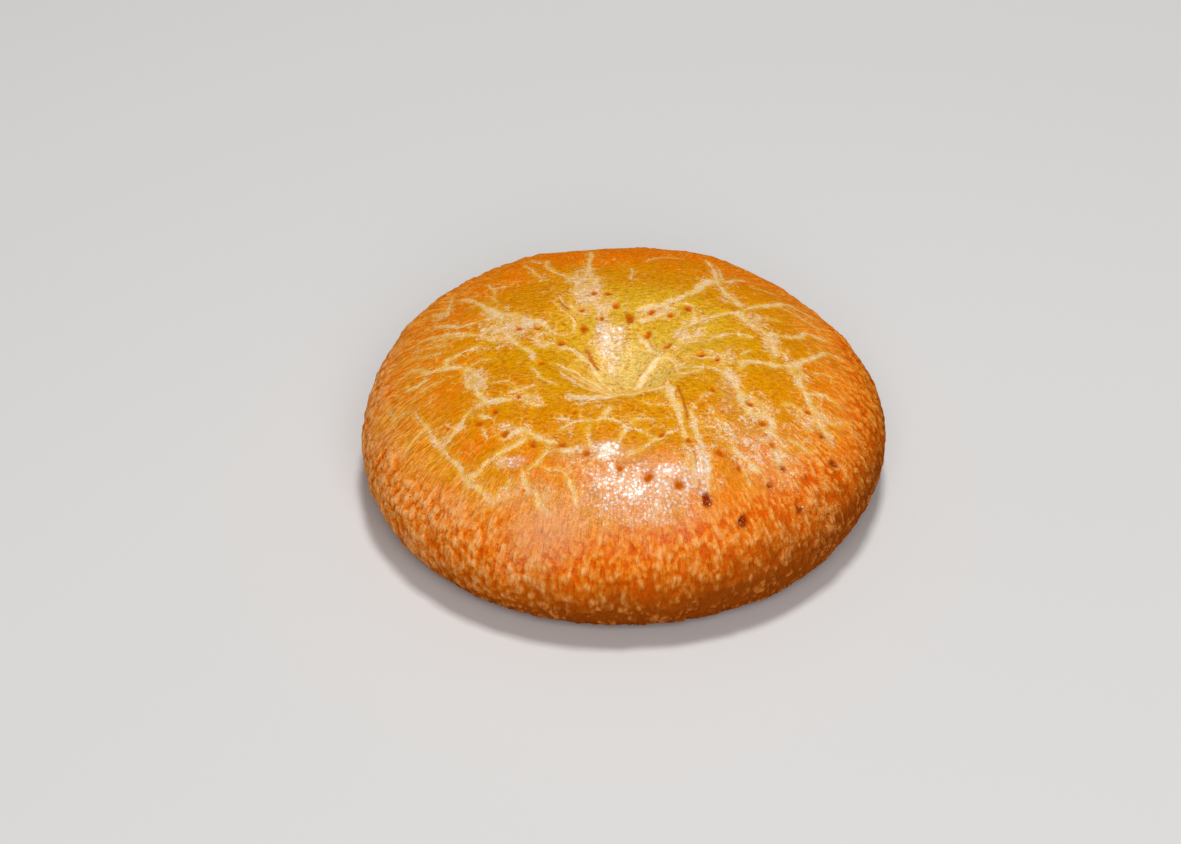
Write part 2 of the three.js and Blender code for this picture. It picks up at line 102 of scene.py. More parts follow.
# Splits in the glazed skin: half width, then the places that the split runs through
SPLITS = [
    # Round the hollow
    (0.7, (7.6, 0.4), (5.9, -1), (4.7, -2), (3.5, -3.4), (2.2, -4.6)),
    (0.3, (3, 5.8), (3.4, 4.8), (4.7, 3.6), (5.9, 1.9), (7.1, 0.4)),
    (0.45, (-12, 0.9), (-10, 1.3), (-8.9, 0.9), (-7.7, -0.5), (-6.5, -1.4)),
    (0.25, (-6.5, -1.4), (-5, -3.4), (-3.4, -5.6), (-2, -7.5)),
    (0.35, (-12.4, -3.8), (-10, -4.7), (-8, -5.6), (-6, -7), (-4, -8.6)),
    (0.2, (-9.4, -6.6), (-7.5, -8), (-6, -9), (-4.5, -9.8)),
    (0.2, (-11.6, -6.6), (-9.6, -8.8), (-7.4, -10.6), (-5, -11.4)),
    (0.8, (-10.2, -13.6), (-8, -14.8), (-6, -15.1), (-4.4, -14.5), (-2.2, -14), (-0.3, -13.9)),
    (0.45, (-0.3, -13.9), (2.4, -13.7), (4.6, -13.4), (6.7, -12.9), (8.4, -12.1)),
    (0.2, (8, -0.3), (9.2, -1.2), (10, -2.7), (11.2, -3.8), (12.2, -3.6)),
    (0.2, (10, -2.7), (10.4, -5), (10.2, -7.4)),
    (0.15, (-14.4, 6.3), (-13, 5.6), (-11.6, 5.2), (-10, 5.2), (-9, 6)),
    (0.2, (-9, 6), (-9.2, 8.2), (-9.8, 9.3), (-10.5, 10.2), (-12, 11.6)),
    (0.2, (-10.3, 13.4), (-9.4, 11.8), (-8.5, 10.9), (-7.2, 10.2)),
    (0.2, (-17.4, -5.6), (-15.4, -8.8), (-14.2, -10), (-12.6, -11)),
    (0.4, (-10, 1.3), (-12.4, 2.2), (-14.2, 2), (-15.6, 1)),
    # At the front
    (0.65, (8.2, -10.8), (8.4, -11.8), (8.8, -14.2), (9.4, -16.6), (10.1, -18.3), (10.5, -20.3),
     (10.8, -22)),
    (0.3, (10.8, -22), (11.2, -23.8), (11.4, -25.4)),
    (0.35, (12.3, -18.4), (12.9, -20.5), (13.3, -22.4), (13.9, -24.6), (14.3, -26)),
    (0.25, (14.3, -26), (14.9, -29), (15.2, -32), (15.6, -34.8)),
    (0.25, (12.4, -27.4), (12.8, -29.6), (13, -32), (13.2, -34.4)),
    (0.25, (-5.2, -20.8), (-3.8, -20.4), (-1.7, -20.9), (-0.6, -21.5), (0, -22.3), (0.1, -23.3),
     (-0.5, -24.8)),
    (0.2, (-0.5, -24.8), (-0.9, -26.2), (-1.2, -27.6)),
    (0.12, (0.2, -22.4), (1, -21.6), (2.3, -20.8), (3.8, -20.5), (5.6, -20.7)),
    (0.15, (0.2, -23.2), (1.5, -22.8), (2.7, -23), (3.9, -23.8), (5.5, -25)),
    (0.25, (0.6, -28.6), (2.2, -27.7), (3.8, -27), (5.5, -25.9), (6.8, -25.2), (8, -24.3), (9.6, -23.4)),
    (0.15, (-11.8, -22.6), (-10.2, -21.9), (-8.5, -21.2), (-6.8, -20.9), (-5.2, -20.8)),
    (0.2, (-6.3, -21.8), (-6.4, -23.6), (-6.5, -25.5), (-6.1, -27.2)),
    (0.35, (-11.5, -26.9), (-10.6, -27.4), (-9.6, -27.2), (-8.4, -26.6)),
    (0.3, (-18.4, -22.2), (-16.5, -23), (-14.8, -24.4), (-13.5, -25.2), (-12.4, -25.2)),
    (0.3, (-3.9, -20.3), (-3.4, -19.2), (-2.6, -18.4), (-1.8, -17.8)),
    (0.25, (-13.5, -26.4), (-14.8, -27.8), (-16, -29.3), (-17.3, -30.5)),
    (0.3, (-9.9, -33.6), (-9.5, -35.1), (-8.9, -36.6), (-8.3, -38.2)),
    (0.4, (-18.8, -30.4), (-18.6, -31.6), (-18.2, -32.8), (-17.7, -34), (-16.8, -34.8), (-15.8, -36)),
    (0.35, (-15.8, -36), (-15.1, -37.6), (-14.1, -38.8), (-12.6, -39.6)),
    (0.12, (-14, -31), (-11.6, -31.9), (-10.4, -33)),
    (0.12, (4.2, -16.6), (6, -17.2), (7.8, -17.3)),
    (0.2, (14.8, -21.7), (17, -21.5), (19, -22), (20.6, -22.9)),
    (0.2, (17, -19.6), (18.4, -20.6), (20, -20.6)),
    # On the left
    (0.25, (-41.6, 1.6), (-40.3, 1.9), (-38.9, 1.2), (-38, 0)),
    (0.5, (-38, -0.1), (-37.2, -0.9), (-35.8, -1.3), (-34.6, -1.6), (-33.2, -1.8), (-31.7, -2.3),
     (-30.3, -2.8)),
    (0.35, (-30.3, -2.8), (-29.2, -3.6), (-28.3, -4.6), (-27.8, -5.6)),
    (0.2, (-27.8, -5.6), (-26.8, -6.7), (-26.2, -8), (-26.1, -9.4)),
    (0.25, (-29.9, -3.2), (-29.9, -4.8), (-29.5, -6.5), (-29.3, -8.2), (-28.5, -9.5)),
    (0.15, (-29.3, -8.2), (-27.6, -7.6), (-26.3, -8)),
    (0.45, (-28.5, -9.5), (-27.4, -9.9), (-27, -11.2), (-26.6, -12.2), (-26.1, -13.2), (-25.2, -14)),
    (0.65, (-25.2, -14), (-23.8, -14.6), (-22.4, -14.5), (-21.2, -14.9)),
    (0.3, (-33.2, -1.8), (-33.5, -0.4), (-33.4, 0.5), (-32.4, 0.9), (-31, 1.3)),
    (0.25, (-31, 1.3), (-30, 1.8), (-28.4, 2.2), (-27.4, 2.6)),
    (0.35, (-36.8, -3.2), (-38, -3), (-39, -3.5), (-40.2, -3.4), (-41.5, -3)),
    (0.3, (-21.5, -13.3), (-20, -12.7), (-18.9, -12.2), (-17.7, -11.8), (-16.5, -11.1)),
    (0.3, (-19.6, -14.8), (-18.6, -14.2), (-17.2, -14.3), (-15.5, -14.8)),
    (0.2, (-18.4, -15.4), (-17, -16.2), (-15.4, -16.4)),
    (0.25, (-28.2, -14.9), (-29.4, -16.2), (-30, -17), (-30.4, -17.8)),
    (0.45, (-30.1, -18), (-31, -18.7), (-32, -19.5)),
    (0.3, (-32, -19.5), (-33, -20.8), (-34, -20.9), (-35, -20.2)),
    (0.3, (-26.8, -17.1), (-25.6, -17.8), (-24.6, -18.1)),
    (0.35, (-37.3, -14.6), (-36.4, -16.6), (-35.3, -18.8), (-34.1, -20.7)),
    (0.3, (-34.1, -20.7), (-33.3, -22.2), (-32, -24.5), (-30.9, -25.8), (-30, -27.1), (-29.7, -28.6)),
    (0.45, (-29.7, -28.9), (-28.5, -28.8), (-27.3, -28.9), (-25.9, -28.2), (-25, -27.4), (-23.8, -27)),
    (0.4, (-23.8, -27), (-22.6, -26.3), (-21.5, -25.5), (-20.1, -25.1), (-18.9, -24.4), (-17.8, -23.6)),
    (0.45, (-29.7, -28.9), (-28, -30.7), (-26.8, -31.6), (-25.6, -32.9), (-24.4, -34.6), (-22.5, -36.6)),
    (0.25, (-23.9, -35), (-22.6, -34), (-21.5, -33.3), (-21.2, -32)),
    (0.25, (-39.3, -17.5), (-38.3, -16.5), (-37, -16.1)),
    (0.2, (-39.6, -18), (-41, -19), (-42.4, -20)),
    (0.2, (-22.9, -21.2), (-21.9, -20.3), (-20.7, -20)),
    (0.25, (-22.8, -23.3), (-21.5, -23.2), (-20.4, -22.5), (-19, -21.7), (-17.6, -21.9)),
    (0.15, (-26.3, -20), (-25.4, -21), (-25, -22.6)),
    (0.12, (-44.2, -9.4), (-42, -9.2), (-40.2, -9.6)),
    (0.12, (-38.9, -10.6), (-38.4, -12.6), (-37.6, -14.4)),
    (0.12, (-44, -5.6), (-43.6, -8.4), (-43.2, -11.4)),
    (0.12, (-39.2, -6.4), (-37, -5.4), (-35, -5.2)),
    (0.12, (-24.2, -9.4), (-22, -9.6), (-20.4, -10.8)),
    (0.12, (-28.4, -2.6), (-26.6, -1.6), (-25, -1.8)),
    # At the back, on the left
    (0.35, (-31.2, 23.2), (-29.5, 21.1), (-28.4, 19.6)),
    (0.5, (-28.4, 19.6), (-27.8, 18.4), (-26.7, 16.5), (-25.8, 15.3), (-25.1, 14.2), (-24.2, 13.2),
     (-22.6, 12.4)),
    (0.2, (-22.6, 12.4), (-20.8, 11.6), (-19.2, 10.8), (-18, 9.6)),
    (0.2, (-26.2, 14), (-24.4, 12), (-22.8, 10.6), (-21, 10)),
    (0.2, (-33.2, 27), (-33.5, 25), (-33.7, 21.5), (-33.9, 17.5)),
    (0.25, (-36.8, 21), (-35.8, 19.6), (-34.6, 18.5)),
    (0.35, (-36.2, 14.6), (-35.3, 14), (-34, 13), (-32.6, 11.3), (-30.9, 10.6), (-29.5, 10.7),
     (-28.4, 11.2)),
    (0.2, (-28.4, 11.2), (-26.8, 11.4), (-25.3, 11.4), (-24, 11.6)),
    (0.3, (-39, 10.8), (-37.7, 10.2), (-36.4, 9.7), (-34.9, 9.2), (-33.5, 8.8), (-32, 8.3), (-30.8, 7.9)),
    (0.25, (-30.8, 7.9), (-29.6, 6.9), (-28.6, 6.4), (-27.3, 5.6), (-25.8, 4.6), (-24.4, 3.4)),
    (0.2, (-36.5, 8), (-34, 7.4), (-31.5, 6.9), (-30, 6.6)),
    (0.12, (-40.4, 8.2), (-38.2, 7), (-36, 6.2), (-33.6, 5.2)),
    (0.12, (-39.4, 5.4), (-37.2, 4), (-35, 3.2)),
    (0.4, (-18.6, 9), (-16.8, 8.8), (-15.1, 7.7), (-13.9, 6.4)),
    (0.3, (-24.4, 7.6), (-22.6, 6.4), (-21.4, 4.6), (-20.6, 3)),
    (0.3, (-20.6, 3), (-19.6, 1.2), (-18.2, 0), (-17.2, -1.4), (-16.9, -3)),
    (0.2, (-17.6, 34.5), (-16.7, 33), (-15.6, 32)),
    (0.25, (-14.6, 33.5), (-14.8, 30.5), (-13.9, 28), (-12.6, 25.6), (-11.1, 24), (-10.1, 22.2)),
    (0.25, (-5.9, 37), (-6.2, 31.5), (-6.5, 28.8), (-6.3, 26.3), (-7.1, 24.3)),
    (0.15, (-19, 32), (-17.6, 29.4), (-16.8, 26.6), (-15.4, 24.6)),
    (0.15, (-26.2, 26.4), (-25.6, 24.4), (-24.9, 22.6), (-24.6, 20.4)),
    (0.2, (-25.6, 20.6), (-24.8, 19), (-24.2, 17.4)),
    (0.12, (-26.2, 24.6), (-24.4, 23.8), (-22.6, 23.8), (-21, 24.4)),
    (0.12, (-12.2, 16.4), (-11.2, 13.6), (-9.8, 12.2)),
    # At the back, on the right
    (0.55, (3, 11.7), (4.3, 12.4), (6, 12.6), (7.9, 12.9), (9.1, 13.9), (10.9, 15), (12.3, 16.2)),
    (0.6, (12.3, 16.2), (14.1, 18.3), (15.9, 21.8), (17.3, 23.6), (19, 24.6)),
    (0.35, (3, 8.9), (4.7, 9.2), (5.9, 9.7), (7.4, 10.2), (8.6, 11.2), (9.1, 12.6)),
    (0.12, (10.2, 12.8), (11.5, 13.4), (13, 13.5), (14, 12.8)),
    (0.25, (13.9, 12.6), (13.8, 11), (13.7, 9.2), (13.2, 7.6)),
    (0.4, (10.2, 5.5), (11.2, 6.4), (12.9, 7.2), (14.5, 7.9), (15.5, 8.7), (17, 9.4), (18.4, 10.3),
     (20, 11.1)),
    (0.45, (20, 11.1), (21.3, 11.5), (22.8, 12), (23.6, 13)),
    (0.25, (10.2, 2.5), (12, 3.2), (14, 3.6), (16, 3.8), (17.3, 3.1)),
    (0.25, (17.3, 3.1), (18.2, 3.1), (19.2, 4.2), (21.2, 4.6), (23.3, 4.8), (25, 4.6)),
    (0.2, (10, 0.2), (11.4, 1), (13, 1.6), (14.6, 1.2)),
    (0.35, (12.2, -2.5), (14, -3.3), (15.7, -3.9), (17.2, -3.7), (18.6, -4.2)),
    (0.3, (11.2, -5.2), (13, -6), (15, -6.6), (16.8, -6.6), (18.6, -7.4), (20.2, -8.2)),
    (0.2, (9.4, -8.2), (11.4, -8.6), (13.2, -8), (15, -7)),
    (0.35, (19, 22), (18.5, 25), (18.4, 28), (17.7, 32), (16.8, 35.4)),
    (0.2, (19.8, 23.6), (19.6, 27.4), (18.9, 31)),
    (0.35, (20, 24.5), (21, 25), (22, 26.3), (23, 26.9), (24.4, 27.6)),
    (0.35, (19.5, 21.5), (20.2, 19), (21.2, 17.4), (22.2, 15.8), (23, 14.4)),
    (0.45, (23.4, 13.2), (24.6, 14.4), (26.1, 15.4), (27.6, 16.6), (29.4, 17.6), (30.6, 19), (32, 20.7)),
    (0.3, (32, 20.7), (33.7, 20.8), (35.3, 20.5), (36.8, 20.3), (38.2, 19.3)),
    (0.35, (22.4, 11.8), (22.8, 10.2), (23.6, 9.3), (24.6, 8.4), (25.9, 7.5), (27.3, 6.7), (28, 5.2)),
    (0.35, (30.2, 7), (31.4, 7.5), (32.9, 7.8), (34.4, 9.2), (35.8, 11.3), (38.2, 11.3), (40, 11.7)),
    (0.3, (27.6, 6.6), (29, 7), (30.2, 7)),
    (0.25, (29.8, 1.8), (30.8, 1.3), (31.2, 0.2), (31, -0.8)),
    (0.2, (28, 5.2), (28.6, 3.4), (29, 1.6), (28.8, -0.6)),
    (0.12, (2, 27.4), (2.1, 25), (1.9, 22.8)),
    (0.12, (5, 31.6), (6.8, 33.6), (9.4, 34.4), (11.8, 34)),
    (0.15, (24.8, 10), (26.4, 11.6), (28.4, 12), (30.4, 12.8)),
    (0.12, (26, 24), (28, 24.4), (30.4, 23.6)),
    (0.12, (31.4, 17.6), (33.8, 17.2), (36.2, 16.2), (38.4, 15)),
    # On the right
    (0.55, (22, -5.6), (22.8, -4.1), (24, -3.3), (25.4, -3.1), (27.1, -2.8), (28.7, -2.9), (30.1, -2.8)),
    (0.4, (30.1, -2.8), (31.4, -2.2), (32.6, -1.4), (33.6, -0.5)),
    (0.4, (33.6, -0.5), (35, 1), (36.5, 2.8), (38.1, 4.9), (39.1, 6.7)),
    (0.25, (39.1, 6.7), (40.3, 6.6), (41.8, 6.8), (43.6, 7.4)),
    (0.15, (22.3, -1.6), (23.3, -0.6), (24.5, 0.3)),
    (0.2, (15.3, -1.5), (16.7, -2.1), (18.3, -2.2)),
    (0.55, (20.4, -7.4), (20.8, -9.2), (21.7, -11.4), (22.1, -13.3), (22.9, -15.2), (24, -16.4)),
    (0.45, (24, -16.4), (25.2, -16.4), (26.6, -16.4), (27.6, -17.3), (27.9, -18.5), (27.4, -20.2)),
    (0.25, (22.9, -11.7), (24.4, -12.4), (25.6, -13.4), (26.8, -14.2), (27.7, -15)),
    (0.35, (27.4, -20.2), (28.6, -21.2), (29.8, -22.6), (29.9, -23.6)),
    (0.4, (28.2, -24), (28.4, -25.5), (29, -26.5), (29.8, -27.2)),
    (0.3, (30.1, -12.7), (31.5, -12.4), (32.7, -13), (33.9, -13.6)),
    (0.2, (33.9, -8.5), (34.9, -8.7), (36, -8)),
    (0.35, (36, -8), (37.5, -7.7), (39, -7.5), (40, -7.9)),
    (0.15, (40, -7.9), (41.4, -8.4), (43, -7.6)),
    (0.4, (33.2, -4.6), (33.4, -6.4), (34, -8), (34.8, -9.4), (35.2, -10.8), (35.9, -12)),
    (0.3, (35.9, -12), (36.7, -12.6), (36.5, -13.6), (37, -15), (37.7, -15.9), (38.6, -16.6),
     (39.5, -17.8)),
    (0.25, (36.7, -12.6), (38.4, -13.6), (39.7, -13.3), (41.1, -12.2), (42.4, -11.2), (43.4, -11.2)),
    (0.2, (43.4, -11.2), (43.8, -9.4), (44.4, -8)),
    (0.3, (41.9, -5.6), (42.8, -5), (44, -4), (45.2, -2.8)),
    (0.2, (32.5, -14.6), (33.4, -15.4), (34.2, -16.6)),
    (0.25, (30.8, -20.8), (32.3, -21), (33.5, -21.8), (34.7, -22), (35.9, -21)),
    (0.3, (20.1, -25), (21.4, -26.6), (22.8, -27.5)),
    (0.45, (22.8, -27.5), (24, -28.6), (25.3, -29.4)),
    (0.3, (28.6, -28.2), (29.5, -29.5), (30.5, -30.3), (32.2, -31)),
    (0.15, (21.4, -28.2), (22.4, -30.6), (23, -32.4)),
    (0.12, (36.4, -2.4), (38.4, -1.4), (40.6, -1.2)),
    (0.12, (24.4, -21.6), (25.8, -22.6), (26.8, -23)),
    (0.15, (31.6, -24.6), (33.2, -25.4), (34.8, -25.2)),
]

# Grooves of deep orange glaze, partly painted shade along them, listed alike
GROOVES = [
    (0.2, (10.4, -12.6), (10.9, -15), (11.4, -17.6), (11.8, -20.2)),
    (0.08, (12.3, -26.2), (12.9, -28), (13.4, -29.6), (13.6, -31.3), (13.7, -33), (13.9, -34.6),
     (14.1, -35.6)),
    (0.35, (-6.8, 2.6), (-6.2, 1.2), (-5.4, -0.6), (-4.6, -2.2)),
    (0.12, (-12.4, 14.6), (-11.4, 13), (-10.2, 11.6)),
]

# How the lines of splits and grooves run
LINE_STEP = 0.4
LINE_WANDER = 0.22  # how far they stray from a smooth route
LINE_FINE_WANDER = 0.4  # in its finer turns, as a share of that
LINE_WANDER_LENGTH = 1.6
LINE_SHIFT = 13.7  # between the noise of one line and the next
LINE_UNEVEN = 0.5  # how much their width changes
TIP_WIDTH, TIP_GROWTH, TIP_LENGTH = 0.35, 0.9, 4  # the width at a tip, and its gain over so many half widths
LINE_FIELD = 4.0  # how far from a line its distance is kept

SPLIT_DEPTH = 0.08
SPLIT_SLOPE = (0.25, -0.45)  # from outside a split's edge, where it starts to go down, to inside it
SPLIT_ROUGHNESS, SPLIT_ROUGHNESS_SIZE = 0.1, 1.1
GROOVE_DEPTH = 0.22
GROOVE_SLOPE = (0.7, 0)
PUFF_HEIGHT = 0.1  # how far the skin between splits stands proud
PUFF_REACH = 2.4

# Patches of skin, as x, y, reach along x, reach along y and strength: first bare dough, then crackled glaze
PALE_PATCHES = [
    (-3.4, 5, 1.4, 4.4, 0.9), (-2.3, -10.5, 2.2, 1.8, 0.9), (-22, 9, 3, 2.6, 0.45),
    (-18.6, 8, 2.4, 1.4, 0.85), (-22, 3.6, 2.2, 1.5, 0.55), (-25.5, 14.4, 2, 1.4, 0.55),
    (-35.6, 19.3, 1.4, 1.8, 0.5), (-17.2, -2.6, 0.9, 1.3, 0.8), (-15.4, 1.4, 1.8, 1, 0.6),
    (-9.6, 23.4, 1.6, 2.6, 0.5), (-5.3, 21.6, 1.5, 1.6, 0.8), (-8.2, 15.4, 1.6, 3, 0.75),
    (-4, 12.6, 3, 2.2, 0.6), (-6.4, 26.4, 1, 2.6, 0.6), (5.4, 11.2, 1.8, 1, 0.55), (17, 23.6, 1.8, 2, 0.6),
    (13.6, 2.6, 3.4, 1.2, 0.5), (11, 5, 1.8, 1.6, 0.5), (22.2, 15.6, 1.8, 1.4, 0.6),
    (22.8, 11.2, 1.6, 1.4, 0.6), (28, 5, 1.6, 2, 0.8), (29, 1.4, 1.2, 2, 0.6), (19, -4.7, 0.9, 1.6, 0.85),
    (21, -9.4, 1.1, 1.8, 0.9), (32.4, -2.6, 1.7, 2, 0.6), (33.1, -5.6, 0.8, 1.8, 0.9),
    (-27.4, -8, 1.6, 2.2, 0.55), (-23, -14.6, 2, 0.6, 0.8), (-30.6, -18.4, 1.1, 0.9, 0.7),
    (-35.4, -18.8, 1, 1.1, 0.6), (-23.4, -35, 1.8, 1, 0.6), (-19.4, -22.2, 2, 0.8, 0.5),
    (-15.6, -24, 2.2, 1.2, 0.65), (-10.6, -27.1, 1, 0.6, 0.8), (-3.5, -27.6, 2.2, 1.6, 0.7),
    (-3, -18.7, 1.1, 1.1, 0.6), (13, -22, 0.8, 2, 0.8), (-10.2, -14.8, 0.8, 1.2, 0.7),
    (1, -34, 8, 3.6, 0.2), (11, -31.5, 3, 3, 0.35), (15.6, -31, 1.2, 4, 0.6), (23.6, -15, 1.6, 2, 0.6),
    (27.2, -20, 1, 0.9, 0.9), (29, -25, 1, 1.6, 0.6), (24.2, -28.6, 1.2, 0.9, 0.7),
    (30.4, -29, 2, 1.6, 0.5), (36.6, -13.6, 1.4, 2, 0.6), (38.4, -16.8, 1.2, 1.6, 0.6),
]
CRACKLE_PATCHES = [
    (-23, 8, 5.5, 7, 0.8), (-16, 4, 4, 3, 0.5), (-35.5, 19, 2.5, 3, 0.6), (-7.6, 20, 3.6, 7, 1.0),
    (-3.6, 13.4, 4.4, 3.4, 0.9), (7, 10.6, 4, 1.8, 0.9), (13, 4, 5, 3.6, 0.8), (20.6, 17.6, 2, 4, 0.7),
    (25, 10, 3, 4, 0.8), (28.6, 4, 2.4, 4.4, 1.0), (19.4, -5, 2, 5, 0.8), (32.8, -4, 2.6, 4.4, 0.8),
    (36.6, -13, 2.8, 5, 0.9), (25, -15, 3.6, 4, 0.9), (28.6, -25, 2.6, 4.6, 0.7), (31, -28, 5, 4, 0.6),
    (18.6, -24.4, 3.4, 3.6, 0.7), (-27, -8, 2.6, 4, 0.8), (-26.4, -14.8, 1.8, 1.4, 1.0),
    (-17.4, -14.8, 3.6, 2, 0.7), (-33, -18, 4.6, 3, 0.5), (-22.6, -28, 1.8, 2.6, 0.7),
    (-22, -34, 4, 2.2, 0.6), (-15, -36, 2.4, 2.4, 0.6), (-20, -22, 3.6, 2, 0.7), (-6, -30, 6, 4, 0.5),
    (3, -34.5, 10, 4, 0.6), (13, -30, 4.4, 5, 0.8), (-2, 4, 5, 6, 0.6), (-5, -17.6, 6, 2.4, 0.5),
    (3, -21.6, 5, 2, 0.4), (4, -39, 12, 4, 0.4), (-12, -22.5, 7, 3.6, 0.35), (-8, -9, 4, 3.6, 0.3),
    (16, -20, 5, 8, 0.4), (24, -22, 6, 7, 0.45), (33, -18, 4, 8, 0.4), (14, 8, 5, 4, 0.4),
    (21, 24, 4, 5, 0.3), (-14, 20, 5, 8, 0.25), (-30, 14, 6, 5, 0.25),
]

# Where the glaze is wet and mirrors the lamp, which its colour also paints as a highlight haze and pale
# beads, and where a pinkish peach sheen is painted, listed alike
WET_PATCHES = [
    (-3.2, -27.7, 3, 2, 1.3), (-2.1, -31, 0.9, 1.6, 1.0), (2.6, -36.2, 2.4, 2.4, 1.2),
    (-3, -36.7, 1.4, 1.4, 1.0), (8, -31.7, 2.6, 1.4, 1.0), (11.6, -33.4, 2.2, 2.6, 0.85),
    (-4.3, 7, 1.2, 1.2, 1.05), (-0.4, 7, 0.9, 0.9, 1.05), (-3.1, 3.8, 1.1, 1.6, 1.05),
    (-2.6, 5, 3, 4.5, 0.7), (-1.6, 0.4, 1.4, 3.6, 0.6), (-20, -28.6, 2.4, 1.2, 0.8), (3, -35, 12, 6.5, 0.7),
    (14.4, -31, 1.6, 5, 0.9), (-9, -29, 6, 4, 0.3), (25, -25, 8, 9, 0.35), (20, -12, 3, 9, 0.3),
    (-6, 16, 4, 8, 0.35), (-20, 7, 6, 5, 0.3),
]
# Painted sheen: where a broad pinkish peach reflection is painted into the colour
PEACH_SHEEN_PATCHES = [
    (-13, -41, 9, 5, 0.85), (-18, -35, 6, 4, 0.55), (2, -40, 18, 6, 0.4), (-30, -33, 8, 6, 0.3),
    (5, -34, 11, 5, 0.5),
]

# Docking holes: x, y, radius and how much baked sugar sits in the hole
DOCKING_HOLES = [
    (4.5, -33, 1.2, 0), (10.1, -34.3, 1.15, 0), (15.1, -36.3, 1.0, 1), (21.6, -38.7, 0.95, 1),
    (17.9, -27, 1.15, 0), (21.3, -29.4, 0.9, 0), (26.8, -31.4, 0.75, 0.5), (32.3, -33, 0.75, 0.8),
    (-0.7, -31.1, 0.85, 0), (-6.8, -28.1, 1.0, 0), (-11.4, -25.9, 0.85, 0), (-16.8, -25, 1.0, 0),
    (-22, -22.1, 0.95, 0), (-27, -18.6, 0.95, 0), (-24, -16.8, 0.95, 0), (7, -24.3, 0.8, 0),
    (12, -25.3, 0.8, 0), (27.6, -22.9, 0.8, 0), (26, -18.1, 1.0, 0), (23.8, -14, 0.9, 0),
    (29.5, -27.3, 0.7, 0.5), (39, -22.2, 0.8, 0.8), (34.8, -12.9, 0.8, 0), (16.8, -12.5, 0.8, 0),
    (17.9, -4.1, 0.75, 0), (14.8, -2.8, 0.9, 0), (1.4, 9.6, 1.15, 0.2), (5.6, 11.2, 0.9, 0),
    (9.2, 10, 0.8, 0), (12.7, 12.2, 1.05, 0), (4.8, 5.6, 0.9, 0), (8.5, 1.9, 1.0, 0), (-7.4, 6.8, 1.05, 0),
    (-11.6, 2.9, 1.0, 0), (-19.8, 6.9, 0.8, 0), (-19.5, -14.1, 0.7, 0), (-7.7, 11.6, 0.7, 0),
    (-16.3, 6.6, 0.7, 0), (-3.9, 9.4, 0.6, 0.2), (-5.4, 16.9, 0.85, 0), (-2.7, 16.8, 0.8, 0),
    (-1.2, 13, 0.95, 0), (-15.2, -4.1, 0.8, 0), (-9.2, -19, 0.6, 0), (-32.8, -17.7, 0.5, 0.2),
    (-21.6, 18, 0.5, 0), (-18.4, -34.3, 0.5, 0), (37.2, -17.3, 0.6, 0.5),
]
HOLE_DEPTH = 0.6  # in hole radii
HOLE_WAVES = [(2, 0.16, 2.1), (3, 0.09, 1)]  # number round, size, and the shift from hole to hole
HOLE_SHAPE = (2.4, 0.75)  # the powers that shape its floor and its edge
HOLE_FIELD = 3.0  # how far out its distance is kept, in hole radii
SUGAR_SPAN = (1.5, 0.6)  # from where the sugar starts to where it is full, in hole radii

# What the flat base has in these fields. In the others it has nothing
BASE_FIELDS = {"base": 1, "side": 1, "split_gap": LINE_FIELD, "groove_gap": LINE_FIELD, "hole": HOLE_FIELD}

# Blisters of the shoulder and side
BLISTER_WIDTH = 1.5
BLISTER_LENGTH = 1.7
BLISTER_HEIGHT = 0.55
BLISTER_SIZE = 0.8  # how much of its cell a blister takes
BLISTER_STRAY = (0.4, 0.5)  # how far they stray round the cake and down its side, in cells
BLISTER_STRAY_SIZE = 3
BLISTER_STRING = 6  # how long the blisters run together down the side
STRING_WIDTH, STRING_HEIGHT = 1.3, 0.22
GLAZED_BLISTERS = 0.12  # how much of them shows under the glaze

# Small bubbles and unevenness of the glaze
BUBBLE_SIZE = 1.15
BUBBLE_HEIGHT = 0.07
BUBBLE_SLOPE = (0.7, 0.1)  # from edge to top, in cells
BUBBLES_ANYWHERE = 0.3  # how strong they are outside the patches
SKIN_ROUGHNESS, SKIN_ROUGHNESS_SIZE = 0.05, 1.5
CELL_SCATTER = 0.8  # how far the middles of cells stray

# The map for baked pictures: the share of it that the top and side take, and the place of the base
MAP_SHARE = 0.82
BASE_SPOT = (0.91, 0.91)
BASE_SPREAD = 0.08

# Camera, light and floor: places and sizes in metres, lens and sensor in millimetres
VIEW_ELEVATION = 40
VIEW_DISTANCE = 0.65
VIEW_AIM = (-0.00641, -0.00053, 0.012)
LENS, SENSOR_WIDTH = 102.6, 36
SOFTBOX = {"right": 0.044, "back": 0.087, "up": 0.995, "distance": 1.0, "size": 0.18, "power": 6.05}
FILL_BOX = {"right": 0.06, "back": -0.68, "up": 0.6, "distance": 1.2, "size": 0.9, "power": 9.0}
ROOM_LIGHT = 0.17
FLOOR_REACH = 3.0
FLOOR_GREY, FLOOR_ROUGHNESS = (0.62, 0.61, 0.6, 1), 0.75

# Patterns in the skin: the noises as size, detail and roughness, the others by size
NOISES = {"grain": (0.3, 2, 0.6), "fine": (0.6, 3, 0.6), "blotch": (2.2, 3, 0.6), "broad": (7, 3, 0.55)}
STREAK = (0.9, 3, 0.6)
DASH, MIDDLE_DASH = (0.42, 2, 0.6), (0.5, 2, 0.6)
RILL_SIZE = 1.7
NET_SIZE = 3.2  # the meshes of the net of hair cracks
VEIN_SIZE = 2.4
RING_SIZE = 1.4  # the cells that hold the crackle's round bubbles
KNOB_SIZE = 1.15
SEED_SIZE = 0.9  # the small knobs of the shoulder
BEAD_SIZE = 0.8
GLINT_SIZE = 0.7
BASE_MOTTLE_SIZE = 3.5

